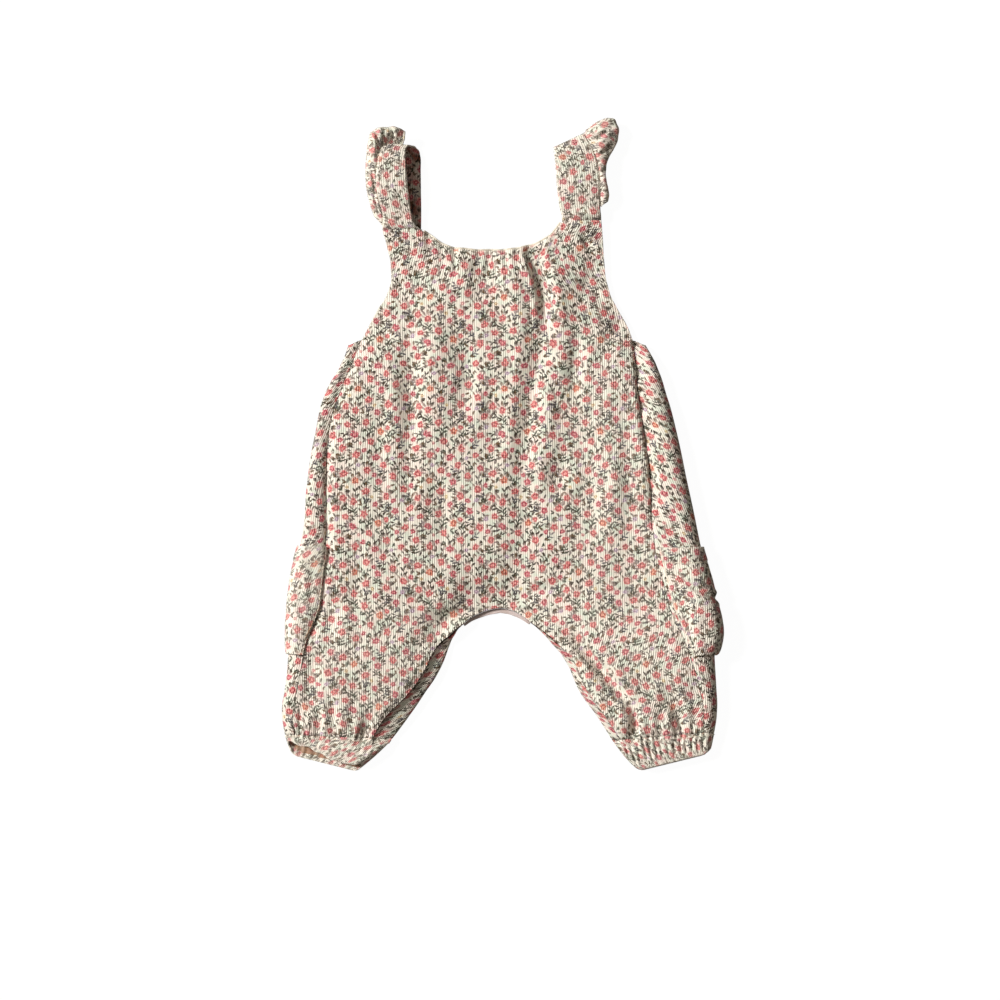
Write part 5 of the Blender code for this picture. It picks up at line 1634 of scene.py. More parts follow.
@dataclass
class FrontPanel:
    """The front: bib, body and the fronts of both legs in one piece."""

    cut: tuple = (0.262, 0.378)
    area: float = 0.0745
    deeper: float = 1.3
    waves: Ripple = Ripple(14.0, 34.0, 1.5, 0.8)
    crumples: Ripple = Ripple(7.0, 13.0, 4.5, 0.4)
    puckers: Ripple = Ripple(9.0, 3.2, 7.5, 0.3)
    pucker_reach: float = 5.0
    neck_swing: Ripple = Ripple(22.0, 60.0, 11.5, 0.012)
    neck_strength: Ripple = Ripple(9.0, 60.0, 13.5, 0.5)
    hem_strength: Ripple = Ripple(8.0, 90.0, 17.5, 1.3)
    hem_swing: Ripple = Ripple(16.0, 40.0, 19.5, 0.022)
    hem_reach: Ripple = Ripple(6.0, 200.0, 21.5, 0.9)
    lift_middles: tuple = (-72.0, 58.0)
    lift_width: float = 15.0
    strap_middles: tuple = (-72.0, 57.6)
    strap_half: float = 14.4

    def relief(self, x: np.ndarray, y: np.ndarray, edge: np.ndarray) -> np.ndarray:
        """How far the cloth sinks at each place, for its folds, waves and puckers.

        Args:
            x: places across.
            y: places along.
            edge: how far each place is from the nearer seam.

        Returns:
            The depth.
        """
        calm = lerp(CALM_SHARE, 1.0, ease(edge / CALM_EDGE))
        depth = fold_depths(x, y, FOLDS) * calm * self.deeper
        depth += fold_depths(x, y, FINE_FOLDS) * calm * self.deeper
        places = np.stack((x, y), axis=-1)
        depth += self.waves.at(places) * calm
        depth += self.crumples.at(places)
        depth += self.puckers.at(places) * bell(edge / self.pucker_reach)
        return depth

    def row(self, loop: Loop, shares: np.ndarray) -> tuple:
        """A row of the front: its points before folds, and how far in from the seams they lie."""
        first = loop.seams[0] + SEAM_GAP / 2
        last = loop.length - loop.seams[1] - SEAM_GAP / 2
        s = lerp(first, last, shares)
        x, y = loop.plan(s)
        z = loop.top(s)
        dipping = y >= CROTCH[1]
        away = np.abs(x - CROTCH[0])
        h = lerp(loop.crown, CROTCH_THICK, bell(away / SIDE_REACH))
        low = lerp(LAID_EDGE, h, 1 - np.exp(-((away / EDGE_RISE) ** RISE_POWER)))
        near = bell((y - CROTCH[1]) / CROTCH_REACH)
        z = np.where(dipping, lerp(z, np.minimum(z, low), near), z)
        edge = np.minimum(s - first, last - s)
        return np.stack((x, y, z), axis=1), edge

    def strap_lift(self, points: np.ndarray) -> np.ndarray:
        """How far the cloth is held up where it goes on into the straps."""
        over = sum(bell((points[..., 0] - x) / self.lift_width) for x in self.lift_middles)
        return STRAP_LIFT * over * bell(below_top_edge(points) / STRAP_LIFT_REACH)

    def under_straps(self, points: np.ndarray) -> np.ndarray:
        """1 where a strap goes on from the top edge, and 0 elsewhere."""
        return np.sum([np.abs(points[..., 0] - x) < self.strap_half for x in self.strap_middles], axis=0)

    def neck_gathers(self, points: np.ndarray) -> np.ndarray:
        """The troughs of the small gathers under the neckline."""
        share = (points[..., 0] - NECK_LEFT_X) / (NECK_RIGHT_X - NECK_LEFT_X)
        inside = (share > 0) & (share < 1)
        swing = share + self.neck_swing.at(points)
        strength = 0.85 + self.neck_strength.at(points)
        trough = NECK_GATHER_DEPTH * (0.5 - 0.5 * np.cos(2 * pi * NECK_GATHERS * swing)) ** 1.4
        fade = bell(below_top_edge(points) / NECK_GATHER_LENGTH)
        return trough * strength * fade * inside

    def hem_gathers(self, rows: np.ndarray, shares: np.ndarray, depth: float) -> np.ndarray:
        """The troughs that run up a leg from its elastic."""
        down = lengths(rows.transpose(1, 0, 2)).T
        up = down[-1:] - down
        strength = np.clip(0.75 + self.hem_strength.at(rows), 0.1, 1.5)
        swing = shares + self.hem_swing.at(rows)
        trough = 1 - np.abs(np.sin(pi * HEM_GATHERS * swing)) ** 0.9
        length = HEM_GATHER_LENGTH * (1 + self.hem_reach.at(rows))
        fade = bell(up / length) + 0.3 * bell(up / (length * 2.4))
        return depth * trough * strength * fade

    def painted_light_paling(self, points: np.ndarray) -> np.ndarray:
        """Painted light: how much paler the cloth is painted on the legs and beside the right seam, where
        more light falls.
        """
        x, y = points[..., 0], points[..., 1]
        legs = ease((-100 - y) / 34)
        side = ease((x - 42) / 20) * ease((96 - y) / 24) * (1 - legs)
        return 0.12 * legs + 0.1 * side

    def finish_rows(self, made: list) -> np.ndarray:
        """Stacks rows and sinks their folds into them."""
        rows = np.stack([points for points, _ in made])
        edge = np.stack([e for _, e in made])
        rows[..., 2] -= self.relief(rows[..., 0], rows[..., 1], edge)
        return rows

    def patches(self, form: Form) -> list[Patch]:
        """The body's patch and one for each leg."""
        section = SIDES[-1]
        middle = (CROTCH[0] - section.seam_l) / (section.seam_r - section.seam_l)
        shares = crowded(FRONT_HALF * 2)
        shares = shares + (middle - 0.5) * np.sin(pi * shares)
        body = self.finish_rows([self.row(loop, shares) for loop in form.bodice() + form.body()])
        body[..., 2] += self.strap_lift(body) - self.neck_gathers(body)
        halves = {
            Side.LEFT: shares[: FRONT_HALF + 1] / shares[FRONT_HALF],
            Side.RIGHT: (1 - shares[FRONT_HALF:][::-1]) / (1 - shares[FRONT_HALF]),
        }
        hem = hem_of(body, ("top", "left", "right"))
        hem[BODICE_ROWS + 1 :] = 0
        hem[:4] *= 1 - 0.9 * self.under_straps(body[:4])
        patches = [Patch(body, cloth_grid(body, FRONT_HALF), hem)]
        for side, half in halves.items():
            made = []
            for i, loop in enumerate(form.leg(side)):
                turned = float(ease((i + 1) / LEG_ROWS * 3))
                made.append(self.row(loop, lerp(half, crowded(FRONT_HALF), turned)))
            rows = self.finish_rows(made)
            across = crowded(FRONT_HALF)[None, :] + 0 * rows[..., 0]
            rows[..., 2] -= self.hem_gathers(rows, across, HEM_GATHER_DEPTHS[side])
            if side is Side.RIGHT:
                rows = rows[:, ::-1]
            join = body[-1, : FRONT_HALF + 1] if side is Side.LEFT else body[-1, FRONT_HALF:]
            rows = np.concatenate((join[None], rows))
            inner = -1 if side is Side.LEFT else 0
            patches.append(patch_of(rows, inner))
        for patch in patches:
            patch.points[..., 2] = np.maximum(patch.points[..., 2], LAID_EDGE - 0.6)
            # the painted light of the legs and the right side rides in the hem values too
            patch.hem[:] = np.maximum(patch.hem, self.painted_light_paling(patch.points))
        return patches

    def build(self, shop: Workshop) -> tuple:
        """Makes and dresses the front.

        Args:
            shop: what it is made with.

        Returns:
            The grids of its body and of its left and right leg.
        """
        patches = self.patches(shop.form)
        obj = shell("front_cloth", patches)
        shop.dress(obj, "front_panel", "cord_front", FRONT_SHIFT)
        return tuple(patch.points for patch in patches)


@dataclass
class BackPanel:
    """The back: it lies on the surface, rolls over each side and curls up inside the legs."""

    cut: tuple = (0.330, 0.378)
    area: float = 0.0985
    pucker: float = 0.3
    broad: Ripple = Ripple(9.0, 7.0, 23.5)
    small: Ripple = Ripple(5.0, 3.5, 27.5, 0.6)

    def roll_over(self, loop: Loop, end: int) -> np.ndarray:
        """Points at an end, from the seam over the roll down to the underside."""
        seam = loop.seams[end] - SEAM_GAP / 2
        depth = ROLL_SHARE * loop.thick[end]
        turn = np.linspace(0, pi / 2, 25)

        def line(d: np.ndarray, z_of: object) -> np.ndarray:
            s = d if end == 0 else loop.length - d
            x, y = loop.plan(s)
            return np.stack((x, y, z_of(s, d)), axis=1)

        top = line(seam * (1 - np.sin(turn)), lambda s, d: loop.top(s))
        below = line(depth * (1 - np.cos(turn)), lambda s, d: loop.under(end, d))
        below[0] = top[-1]
        return np.concatenate((evened(top, ROLL_TOP), evened(below, ROLL_UNDER)[1:]))

    def lift(self, y: float) -> float:
        """How far the underside is held up, at and just past the pockets that lie under it."""
        lift = 0.0
        for pocket in POCKETS.values():
            below_top = ease(2 - (y - pocket.top_y) / 10.0)
            above_bottom = ease(2 - (pocket.bottom_y - y) / 10.0)
            lift = max(lift, POCKET_LIFT * float(below_top * above_bottom))
        return lift

    def lifted(self, points: np.ndarray) -> np.ndarray:
        """A roll, raised where a pocket lies under it."""
        points = points.copy()
        points[:, 2] += self.lift(points[0, 1]) * ease(1 - points[:, 2] / 6.0)
        return points

    def floor(self, start: np.ndarray, stop: np.ndarray, count: int) -> np.ndarray:
        """Points of the flat underside from a roll inwards."""
        length = np.linalg.norm(stop - start)
        near = np.arange(1, POCKET_FLOOR_COLUMNS + 1) * POCKET_FLOOR / POCKET_FLOOR_COLUMNS
        rest = count - POCKET_FLOOR_COLUMNS
        far = lerp(near[-1], length, np.arange(1, rest + 1) / (rest + 1))
        points = start + (stop - start) * (np.concatenate((near, far)) / length)[:, None]
        fade = ease(2 - np.concatenate((near, far)) / POCKET_FLOOR)
        points[:, 2] = self.lift(start[1]) * fade
        return points

    def body_row(self, loop: Loop, corner: float) -> np.ndarray:
        """One row of the body: left roll, underside, right roll."""
        rolls = [self.lifted(self.roll_over(loop, end)) for end in (0, 1)]
        bend = np.sin(pi / 2 * np.minimum(np.arange(len(rolls[0])) / ROLL_TOP, 1)) ** 2
        y = loop.start[1]
        middle = np.array([[CROTCH[0], y, 0.0]])
        floors = []
        for roll in rolls:
            roll[:, 1] -= ARM_ROUND * corner * bend
            start = np.array([roll[-1, 0], y, 0.0])
            floors.append(self.floor(start, middle[0], FLOOR_HALF - 1))
        return np.concatenate((rolls[0], floors[0], middle, floors[1][::-1], rolls[1][::-1]))

    def inner(self, loop: Loop) -> np.ndarray:
        """A leg's inner side: flat at the crotch, and lower down curled up to its seam."""
        seam = loop.seams[1] - SEAM_GAP / 2
        end_z = float(loop.top(np.array([loop.length - seam]))[0]) - INNER_STEP * loop.shut[1]
        depth = ROLL_SHARE * loop.thick[1]
        middle = min(loop.thick[1], end_z) * INNER_MIDDLE
        t = np.linspace(0, pi / 2, 25)
        under = np.stack((depth * (1 - np.sin(t)), middle * (1 - np.cos(t))), axis=1)
        rise = lerp(np.sin(t), 2 * t / pi, 0.6)
        over = np.stack((seam * (1 - np.cos(t)), lerp(middle, end_z, rise)), axis=1)[1:]
        profile = np.concatenate(([[max(depth, INNER_REACH), 0.0]], under, over))
        curled = evened(profile, INNER_STEPS)
        step = np.diff(curled, axis=0)
        heading = np.arctan2(step[:, 1], -step[:, 0]) * loop.shut[1]
        size = np.hypot(step[:, 0], step[:, 1])[:, None]
        moves = np.stack((-np.cos(heading), np.sin(heading)), axis=1) * size
        bent = np.concatenate(([[0.0, 0.0]], np.cumsum(moves, axis=0)))
        squash = min(1.0, end_z / max(bent[-1, 1], 0.1))
        x, y = loop.plan(loop.length - bent[:, 0] + bent[:, 0].min())
        return np.stack((x, y, bent[:, 1] * squash), axis=1)

    def leg_row(self, loop: Loop) -> np.ndarray:
        """One row of a leg, from its outer seam under it to its inner seam."""
        outer = self.lifted(self.roll_over(loop, 0))
        inner = self.inner(loop)
        start = np.array([outer[-1, 0], outer[-1, 1], 0.0])
        return np.concatenate((outer, self.floor(start, inner[0], FLOOR_HALF - INNER_STEPS - 1), inner))

    def bodice_row(self, loop: Loop) -> np.ndarray:
        """A flat row above the armhole corners, just inside the front's outline."""
        w = np.linspace(0, 1, FLOOR_HALF * 2 + 1)
        middle = (CROTCH[0] - loop.start[0]) / loop.length
        share = w + (middle - 0.5) * np.sin(pi * w)
        x = lerp(loop.start[0] + BACK_INSET, loop.stop[0] - BACK_INSET, share)
        between = np.clip((x - NECK_LEFT_X) / (NECK_RIGHT_X - NECK_LEFT_X), 0, 1)
        drop = BACK_TOP_DROP + BACK_NECK_DROP * np.sin(pi * between) ** 2
        return np.stack((x, along_top_edge(x, loop.start[1], drop), 0 * x), axis=1)

    def grids(self, form: Form) -> tuple:
        """Outer-face rows of the bodice, the body, the left leg and the right leg."""
        rows = [self.body_row(loop, max(0.0, 1 - i / 12)) for i, loop in enumerate(form.body())]
        body = np.stack(rows)
        rolls = ROLL_TOP + ROLL_UNDER
        bodice = [self.bodice_row(loop) for loop in form.bodice()] + [body[0, rolls:-rolls]]
        left = np.stack([self.leg_row(loop) for loop in form.leg(Side.LEFT)])
        right = np.stack([self.leg_row(loop)[::-1] for loop in form.leg(Side.RIGHT)])
        return np.stack(bodice), body, left, right

    def settle_relief(self, rows: np.ndarray) -> np.ndarray:
        """Adds puckers over the rolls and quiet waves under the flat part."""
        rows = rows.copy()
        x, y, z = rows[..., 0], rows[..., 1], rows[..., 2]
        waves = np.maximum(fold_depths(x, y, BACK_FOLDS), 0.0) * ease(1 - z / 2)
        raised = ease((z - 2) / 4)
        puckers = self.pucker * (self.broad.at(rows) + self.small.at(rows))
        rows[..., 2] = np.maximum(z + waves + puckers * raised, 0.0)
        return rows

    def build(self, shop: Workshop) -> tuple:
        """Makes and dresses the back.

        Args:
            shop: what it is made with.

        Returns:
            Its four grids, which the pockets and the crotch tape follow.
        """
        bodice, body, left, right = self.grids(shop.form)
        middle = ROLL_TOP + ROLL_UNDER + FLOOR_HALF
        legs = (
            np.concatenate((body[-1:, : middle + 1], left)),
            np.concatenate((body[-1:, middle:], right)),
        )
        patches = []
        for rows, keep, hems in (
            (bodice, FLOOR_HALF, ("top", "left", "right")),
            (body, middle, ()),
            (legs[0], middle - INNER_STEPS, ()),
            (legs[1], INNER_STEPS, ()),
        ):
            patches.append(patch_of(self.settle_relief(rows), keep, hems).turned())
        obj = shell("back_cloth", patches)
        shop.dress(obj, "back_panel", "cord_back", (21.0, 37.0))
        return bodice, body, left, right


class PocketSize(NamedTuple):
    """A patch pocket beside a side seam, round the side and under it, with its cut in metres."""

    side: Side
    top_y: float
    bottom_y: float
    from_seam: float
    bulge: float
    cut: tuple


POCKETS = {
    "pocket_left": PocketSize(Side.LEFT, -73.0, -151.0, 1.0, 1.4, (0.067, 0.079)),
    "pocket_right": PocketSize(Side.RIGHT, -73.6, -151.6, 4.0, 6.6, (0.084, 0.080)),
}


def outward(rows: np.ndarray) -> np.ndarray:
    """The outward direction at each point of a grid."""
    down, across = np.gradient(rows, axis=0), np.gradient(rows, axis=1)
    out = np.cross(down, across)
    return out / np.maximum(np.linalg.norm(out, axis=2, keepdims=True), 1e-9)


@dataclass
class Pocket:
    """A patch pocket with a hemmed, stitched top, laid on the back beside its side seam."""

    name: str
    size: PocketSize
    hem_depth: float = 11.0
    crumples: Ripple = Ripple(6.0, 9.0, 31.5, 0.35)
    rows: int = 90

    def points(self, grids: tuple) -> np.ndarray:
        """The pocket's outer face: the back's own points beside the seam, moved out."""
        _, body, left, right = grids
        columns = ROLL_TOP + ROLL_UNDER + POCKET_FLOOR_COLUMNS + 1
        parts = (body, left) if self.size.side is Side.LEFT else (body[:, ::-1], right[:, ::-1])
        grid = np.concatenate([part[:, :columns] for part in parts])
        order = grid[:, 0, 1][::-1]
        at = np.linspace(self.size.top_y, self.size.bottom_y, self.rows + 1)
        rows = np.empty((len(at), columns, 3))
        for c in range(columns):
            for k in range(3):
                rows[:, c, k] = np.interp(at, order, grid[:, c, k][::-1])
        for row in rows:
            along = lengths(row[None])[0]
            shifted = np.maximum(along, self.size.from_seam * (1 - along / along[-1]) ** 8)
            shifted[0] = self.size.from_seam
            shifted = np.sort(shifted)
            row[:] = np.stack([np.interp(shifted, along, row[:, k].copy()) for k in range(3)], axis=1)
        rows = smoothed_rows(rows.transpose(1, 0, 2), POCKET_FINER).transpose(1, 0, 2)
        out = outward(rows) * self.size.side.value
        u = np.linspace(0, 1, rows.shape[1])[None, :]
        v = np.linspace(0, 1, self.rows + 1)[:, None]
        across = np.sin(pi * np.minimum(u * 1.5, 1.0)) ** 2
        down = np.sin(pi * v**2.2) ** 0.6
        puff = self.size.bulge * across * down * ease(rows[..., 2] / 4)
        creases = self.crumples.at(rows) * ease(rows[..., 2] / 4)
        from_top = self.size.top_y - rows[..., 1]
        turned = 0.45 * ease((self.hem_depth - from_top) / 1.2)
        hem = turned - 0.35 * bell((from_top - self.hem_depth) / 0.9)
        creases -= fold_depths(rows[..., 0], rows[..., 1], POCKET_FOLDS) * ease((rows[..., 2] - 3) / 3)
        lift = lerp(1.3, POCKET_LIFT, ease(u * 12))
        rows = rows + out * (lift + puff + creases + hem * ease(rows[..., 2] / 3))[..., None]
        rows[..., 2] = np.maximum(rows[..., 2], 0.0)
        return rows

    def build(self, shop: Workshop, grids: tuple) -> None:
        """Makes and dresses the pocket."""
        rows = self.points(grids)
        patch = patch_of(rows, ROLL_TOP * POCKET_FINER, ("top", "left"))
        if self.size.side is Side.LEFT:
            patch = patch.turned()
        obj = shell(f"{self.name}_cloth", [patch])
        # the left pocket takes the paler soft finish: painted light for the side that faces the light
        finish = "cord_soft_painted_light" if self.size.side is Side.LEFT else "cord_trim"
        shop.dress(obj, self.name, "cord_trim", (14.0, 5.0), finish=finish)
        seam = int(round(self.rows * self.hem_depth / (self.size.top_y - self.size.bottom_y)))
        lift = outward(rows) * self.size.side.value * 0.12
        visible = slice(2, (ROLL_TOP + 4) * POCKET_FINER)
        paths = [rows[seam, visible] + lift[seam, visible]]
        paths.append(rows[2:-1, 3] + lift[2:-1, 3])
        sewn = shop.sew(f"{self.name}_stitches", paths, "cord_trim")


@dataclass
class Strap:
    """A shoulder strap: up from the front's edge, over itself and down to the back."""

    name: str
    table: list
    span: tuple
    cut: tuple
    shift: tuple
    columns: int = 18
    steps: int = 9
    crown: float = 1.0
    broad: Ripple = Ripple(9.0, 12.0, 37.5, 0.35)
    small: Ripple = Ripple(5.0, 4.0, 41.5, 0.25)

    def points(self, front_edge: np.ndarray, back_edge: np.ndarray) -> np.ndarray:
        """The strap's outer face, row by row."""
        x0, x1 = self.span
        first = self.edge(front_edge, x0, x1, 0.04)
        rows = [first[:, :3]]
        w = np.linspace(0, 1, self.columns + 1)[:, None]
        for row in self.table:
            left, right = np.array(row[:3]), np.array(row[3:])
            line = left * (1 - w) + right * w
            if row[2] > 6.0:
                line[:, 2] += self.crown * np.sin(pi * w[:, 0]) ** 0.7
            rows.append(line)
        rows.append(self.edge(back_edge, x0 + 2.4, x1 - 1.0, 0.9))
        rows = smoothed_rows(np.stack(rows), self.steps)
        top = ease((rows[..., 2] - 4) / 4)
        rows[..., 2] += (self.broad.at(rows) + self.small.at(rows)) * top
        rows[..., 2] = np.maximum(rows[..., 2], 0.0)
        return rows

    def edge(self, row: np.ndarray, x0: float, x1: float, up: float) -> np.ndarray:
        """Part of a panel's edge, moved up by a little gap."""
        x = np.linspace(max(x0, row[0, 0]), min(x1, row[-1, 0]), self.columns + 1)
        line = np.stack([np.interp(x, row[:, 0], column) for column in row.T], axis=1)
        line[:, 1] += up
        return line

    def build(self, shop: Workshop, front_edge: np.ndarray, back_edge: np.ndarray) -> None:
        """Makes and dresses the strap."""
        rows = self.points(front_edge, back_edge)
        middle = self.columns // 2
        start = self.edge(front_edge, *self.span, 0.0)[middle, 3:]
        down = lengths(rows.transpose(1, 0, 2)).T[:, middle : middle + 1]
        across = lengths(rows)
        across = across - across[:, middle : middle + 1]
        cloth = np.stack((start[0] + across, start[1] + down + 0 * across), axis=2)
        patch = Patch(rows, cloth, hem_of(rows, ("left", "right"))).turned()
        obj = shell(f"{self.name}_cloth", [patch])
        # painted shade on its inner face, and painted light in its paler finish
        shop.dress(obj, self.name, "cord_trim", self.shift, painted_shade_inside=True, finish="cord_strap_painted_light")


@dataclass
class Ruffle:
    """A frill gathered into a strap's outer edge."""

    name: str
    table: list
    turned: bool
    cut: tuple
    on: str
    columns: int = 14
    steps: int = 12
    wave: float = 0.5
    waves: int = 7
    pucker: float = 0.5
    puckers: int = 20
    uneven: Ripple = Ripple(10.0, 10.0, 43.5, 0.01)
    crumples: Ripple = Ripple(4.0, 7.0, 45.5, 0.45)
    tuck: float = 0.7

    def points(self) -> np.ndarray:
        """The frill's outer face: each row runs from the seam over its crest to the rim."""
        table = np.array(self.table)
        w = np.linspace(0, 1, self.columns + 1)[None, :, None]
        seam, crest, rim = (table[:, None, k : k + 3] for k in (0, 3, 6))
        rows = (1 - w) ** 2 * seam + 2 * w * (1 - w) * crest + w * w * rim
        under = seam + (seam - crest) * [1, 1, 0] * self.tuck - [0, 0, 1.2]
        rows = smoothed_rows(np.concatenate((under, rows), axis=1), self.steps)
        t = np.linspace(0, 1, len(rows))[:, None]
        out = np.concatenate(([0.0], np.linspace(0, 1, self.columns + 1)))[None, :]
        narrow = lerp(0.2, 1.0, ease(t / 0.07))[..., None]
        rows = rows[:, 1:2] + (rows - rows[:, 1:2]) * narrow
        rows[..., 2] += self.wave * np.sin(2 * pi * self.waves * t) * out
        place = t + self.uneven.at(rows)
        close = np.cos(2 * pi * self.puckers * place) * np.exp(-out * 2.6) * ease(out * 8)
        rows[..., 2] += self.pucker * close
        rows[..., 2] += self.crumples.at(rows) * ease(out * 4)
        rows[..., 2] -= fold_depths(rows[..., 0], rows[..., 1], RUFFLE_FOLDS) * ease(out * 3)
        return rows

    def build(self, shop: Workshop) -> None:
        """Makes and dresses the frill."""
        rows = self.points()
        down = lengths(rows.transpose(1, 0, 2)).T
        across = lengths(rows)
        along = down[:, self.columns // 2][:, None] * 1.25
        cloth = np.stack((along + 0 * across, across), axis=2)
        patch = Patch(rows, cloth, hem_of(rows, ("right", "top", "bottom"), 1.4))
        patch = patch.turned() if self.turned else patch
        obj = shell(f"{self.name}_cloth", [patch], 0.9)
        # painted shade on its inner face, and painted light in its paler soft finish
        shop.dress(obj, self.name, "cord_trim", (7.0, 31.0), painted_shade_inside=True, finish="cord_soft_painted_light")


class CuffSize(NamedTuple):
    """An elastic cuff: its line at the leg, its line at the mouth, and how the lip is cut."""

    top_out: tuple
    top_in: tuple
    mouth_out: tuple
    mouth_in: tuple
    thick: float
    mouth_thick: float
    lip_out: float
    lip_in: float
    ridges: int
    ridge: float
    lip_ends: tuple
    finish: str


CUFFS = {
    "cuff_left": CuffSize(
        top_out=(-156.2, -209.0),
        top_in=(-79.2, -212.4),
        mouth_out=(-153.8, -223.0),
        mouth_in=(-101.2, -236.2),
        thick=11.0,
        mouth_thick=9.6,
        lip_out=9.0,
        lip_in=4.4,
        ridges=30,
        ridge=0.6,
        lip_ends=(0.25, 0.62),
        # painted light: the left cuff, lit from the left, takes the paler soft finish
        finish="cord_soft_painted_light",
    ),
    "cuff_right": CuffSize(
        top_out=(152.9, -207.0),
        top_in=(79.8, -213.4),
        mouth_out=(150.4, -222.4),
        mouth_in=(96.0, -235.8),
        thick=11.0,
        mouth_thick=8.6,
        lip_out=0.8,
        lip_in=0.8,
        ridges=34,
        ridge=1.9,
        lip_ends=(0.0, 1.0),
        # painted light: a slightly paler copy of the cloth
        finish="cord_strap_painted_light",
    ),
}


def leg_end(front: np.ndarray, back: np.ndarray) -> np.ndarray:
    """The upper line of a leg's end, in order of X.

    Args:
        front: the last row of the leg's front.
        back: the last row of the leg's back, from its outer seam.

    Returns:
        The line's points.
    """
    line = np.concatenate((back[: ROLL_TOP + 1], front, back[-INNER_STEPS // 2 :]))
    return line[line[:, 0].argsort()]


@dataclass
class Cuff:
    """A gathered elastic cuff, open at its mouth."""

    name: str
    size: CuffSize
    cut: tuple = (0.190, 0.019)
    per_ridge: int = 10
    rows: int = 18
    upright: float = 0.6
    overlap: float = 1.0
    tuck: float = 0.12
    blend: float = 0.4
    corner: tuple = (7.0, 3.2)
    unevenness: Ripple = Ripple(2.2, 2.2, 47.5)

    def ring(self, v: float, count: int) -> np.ndarray:
        """A closed ring, v from the leg (0) to the mouth (1)."""
        size = self.size
        a, b = (
            tuple(lerp(top[k], mouth[k], v) for k in (0, 1))
            for top, mouth in ((size.top_out, size.mouth_out), (size.top_in, size.mouth_in))
        )
        thick = lerp(size.thick, size.mouth_thick, v)
        loop = Loop(a, b, (0, 0), (thick, thick), thick, (1.0, 1.0))
        turn = np.linspace(0, pi, 121)[:-1]
        halves = []
        for up in (1, -1):
            d = loop.length * (0.5 - 0.5 * up * np.cos(turn))
            roll = loop.roll(0, d) * loop.roll(1, loop.length - d)
            x, y = loop.plan(d)
            z = thick / 2 * (1 + roll * up)
            closing = ease((d / loop.length - size.lip_ends[0]) / (size.lip_ends[1] - size.lip_ends[0]))
            lip = lerp(size.lip_out, size.lip_in, closing)
            lip = lip * (1 + 0.1 * np.sin(0.55 * d) * np.sin(pi * d / loop.length))
            from_end = np.minimum(d, loop.length - d)
            corner = self.corner[1] * v**3 * np.clip(1 - from_end / self.corner[0], 0, 1) ** 2
            halves.append(np.stack((x, y + corner + lip * v * ease(z / thick), z), axis=1))
        line = np.concatenate(halves + [halves[0][:1]])
        return evened(line, count)

    def points(self, leg: np.ndarray) -> np.ndarray:
        """The cuff's rings, gathered into ridges except where it rests, from its leg's end."""
        count = self.size.ridges * self.per_ridge
        rings = np.stack([self.ring(v, count) for v in np.linspace(0, 1, self.rows + 1)])
        along = np.gradient(rings, axis=1)
        along /= np.linalg.norm(along, axis=2, keepdims=True)
        v = np.linspace(0, 1, self.rows + 1)[:, None]
        circle = 2 * pi * np.arange(count + 1) / count
        around = np.stack((np.cos(circle) * 9, np.sin(circle) * 9), axis=1)
        uneven = self.unevenness.at(around)[None, :]
        turn = np.arange(count + 1)[None, :] / self.per_ridge
        out_x, in_x = self.size.top_out[0], self.size.top_in[0]
        across = (rings[..., 0] - out_x) / (in_x - out_x) * self.size.ridges / 2
        across = np.where(np.arange(count + 1) > count // 2, self.size.ridges - across, across)
        phase = lerp(turn, across, self.upright) + 0.3 * uneven
        wave = np.abs(np.sin(pi * phase)) ** 0.8
        raised = ease((rings[..., 2] - 2.0) / 3.0)
        strength = lerp(1.0, 0.15, ease((v - 0.6) / 0.25))
        strength = strength * lerp(0.35, 1.0, np.abs(along[..., 0])) * (1 + 0.5 * uneven)
        rings[..., 2] -= self.size.ridge * strength * (1 - wave) * raised
        rings[..., 2] += 0.6 * (1 - wave) * (1 - raised)
        near = np.interp(rings[..., 0], leg[:, 0], leg[:, 2]) - self.tuck
        upper = np.arange(count + 1)[None, :] < count // 2
        joined = lerp(near, rings[..., 2], ease(v / self.blend))
        rings[..., 2] = np.where(upper, joined, rings[..., 2])
        rings[..., 1] += self.overlap * bell(v / 0.08)
        return rings

    def build(self, shop: Workshop, leg: np.ndarray) -> None:
        """Makes and dresses the cuff."""
        rings = self.points(leg)
        around = lengths(rings[self.rows // 2 : self.rows // 2 + 1]) + np.zeros((len(rings), 1))
        down = lengths(rings.transpose(1, 0, 2)).T
        cloth = np.stack((around * 1.2, -down), axis=2)
        hem = hem_of(rings, ("bottom",), TURNED_HEM) ** 3
        patch = Patch(rings, cloth, hem)
        if self.size.top_out[0] > 0:
            patch = patch.turned()
        obj = shell(f"{self.name}_cloth", [patch], 1.0)
        near_mouth = obj.data.attributes["hem"].data
        for face in obj.data.polygons:
            if all(near_mouth[i].value > 0 for i in face.vertices):
                face.material_index = 0
        shop.dress(obj, self.name, "cord_trim", (9.0, 19.0), finish=self.size.finish)
        upper = rings[2, : rings.shape[1] // 2] + np.array([0, 0, 0.1])
        sewn = shop.sew(f"{self.name}_stitches", [upper], "cord_trim", 1.6)


@dataclass
class NeckRoll:
    """The thin rolled edge along the front's neckline."""

    radius: float = 0.65
    inset: float = 0.3

    def build(self, shop: Workshop, front_edge: np.ndarray) -> None:
        """Makes and dresses the rolled edge."""
        x = front_edge[:, 0]
        line = front_edge[(x > NECK_LEFT_X + self.inset) & (x < NECK_RIGHT_X - self.inset)]
        line = evened(line, 90)
        along = np.gradient(line, axis=0)
        up = np.stack((-along[:, 1], along[:, 0], 0 * along[:, 0]), axis=1)
        up /= np.linalg.norm(up, axis=1, keepdims=True)
        path = line + up * (self.radius * 0.8) - np.array([0, 0, 0.7])
        values = {"Radius": self.radius * MM, "Finish": shop.materials["binding"]}
        shop.place(grown("neck_roll", [path], shop.sweep, values), "binding", "neck_binding")


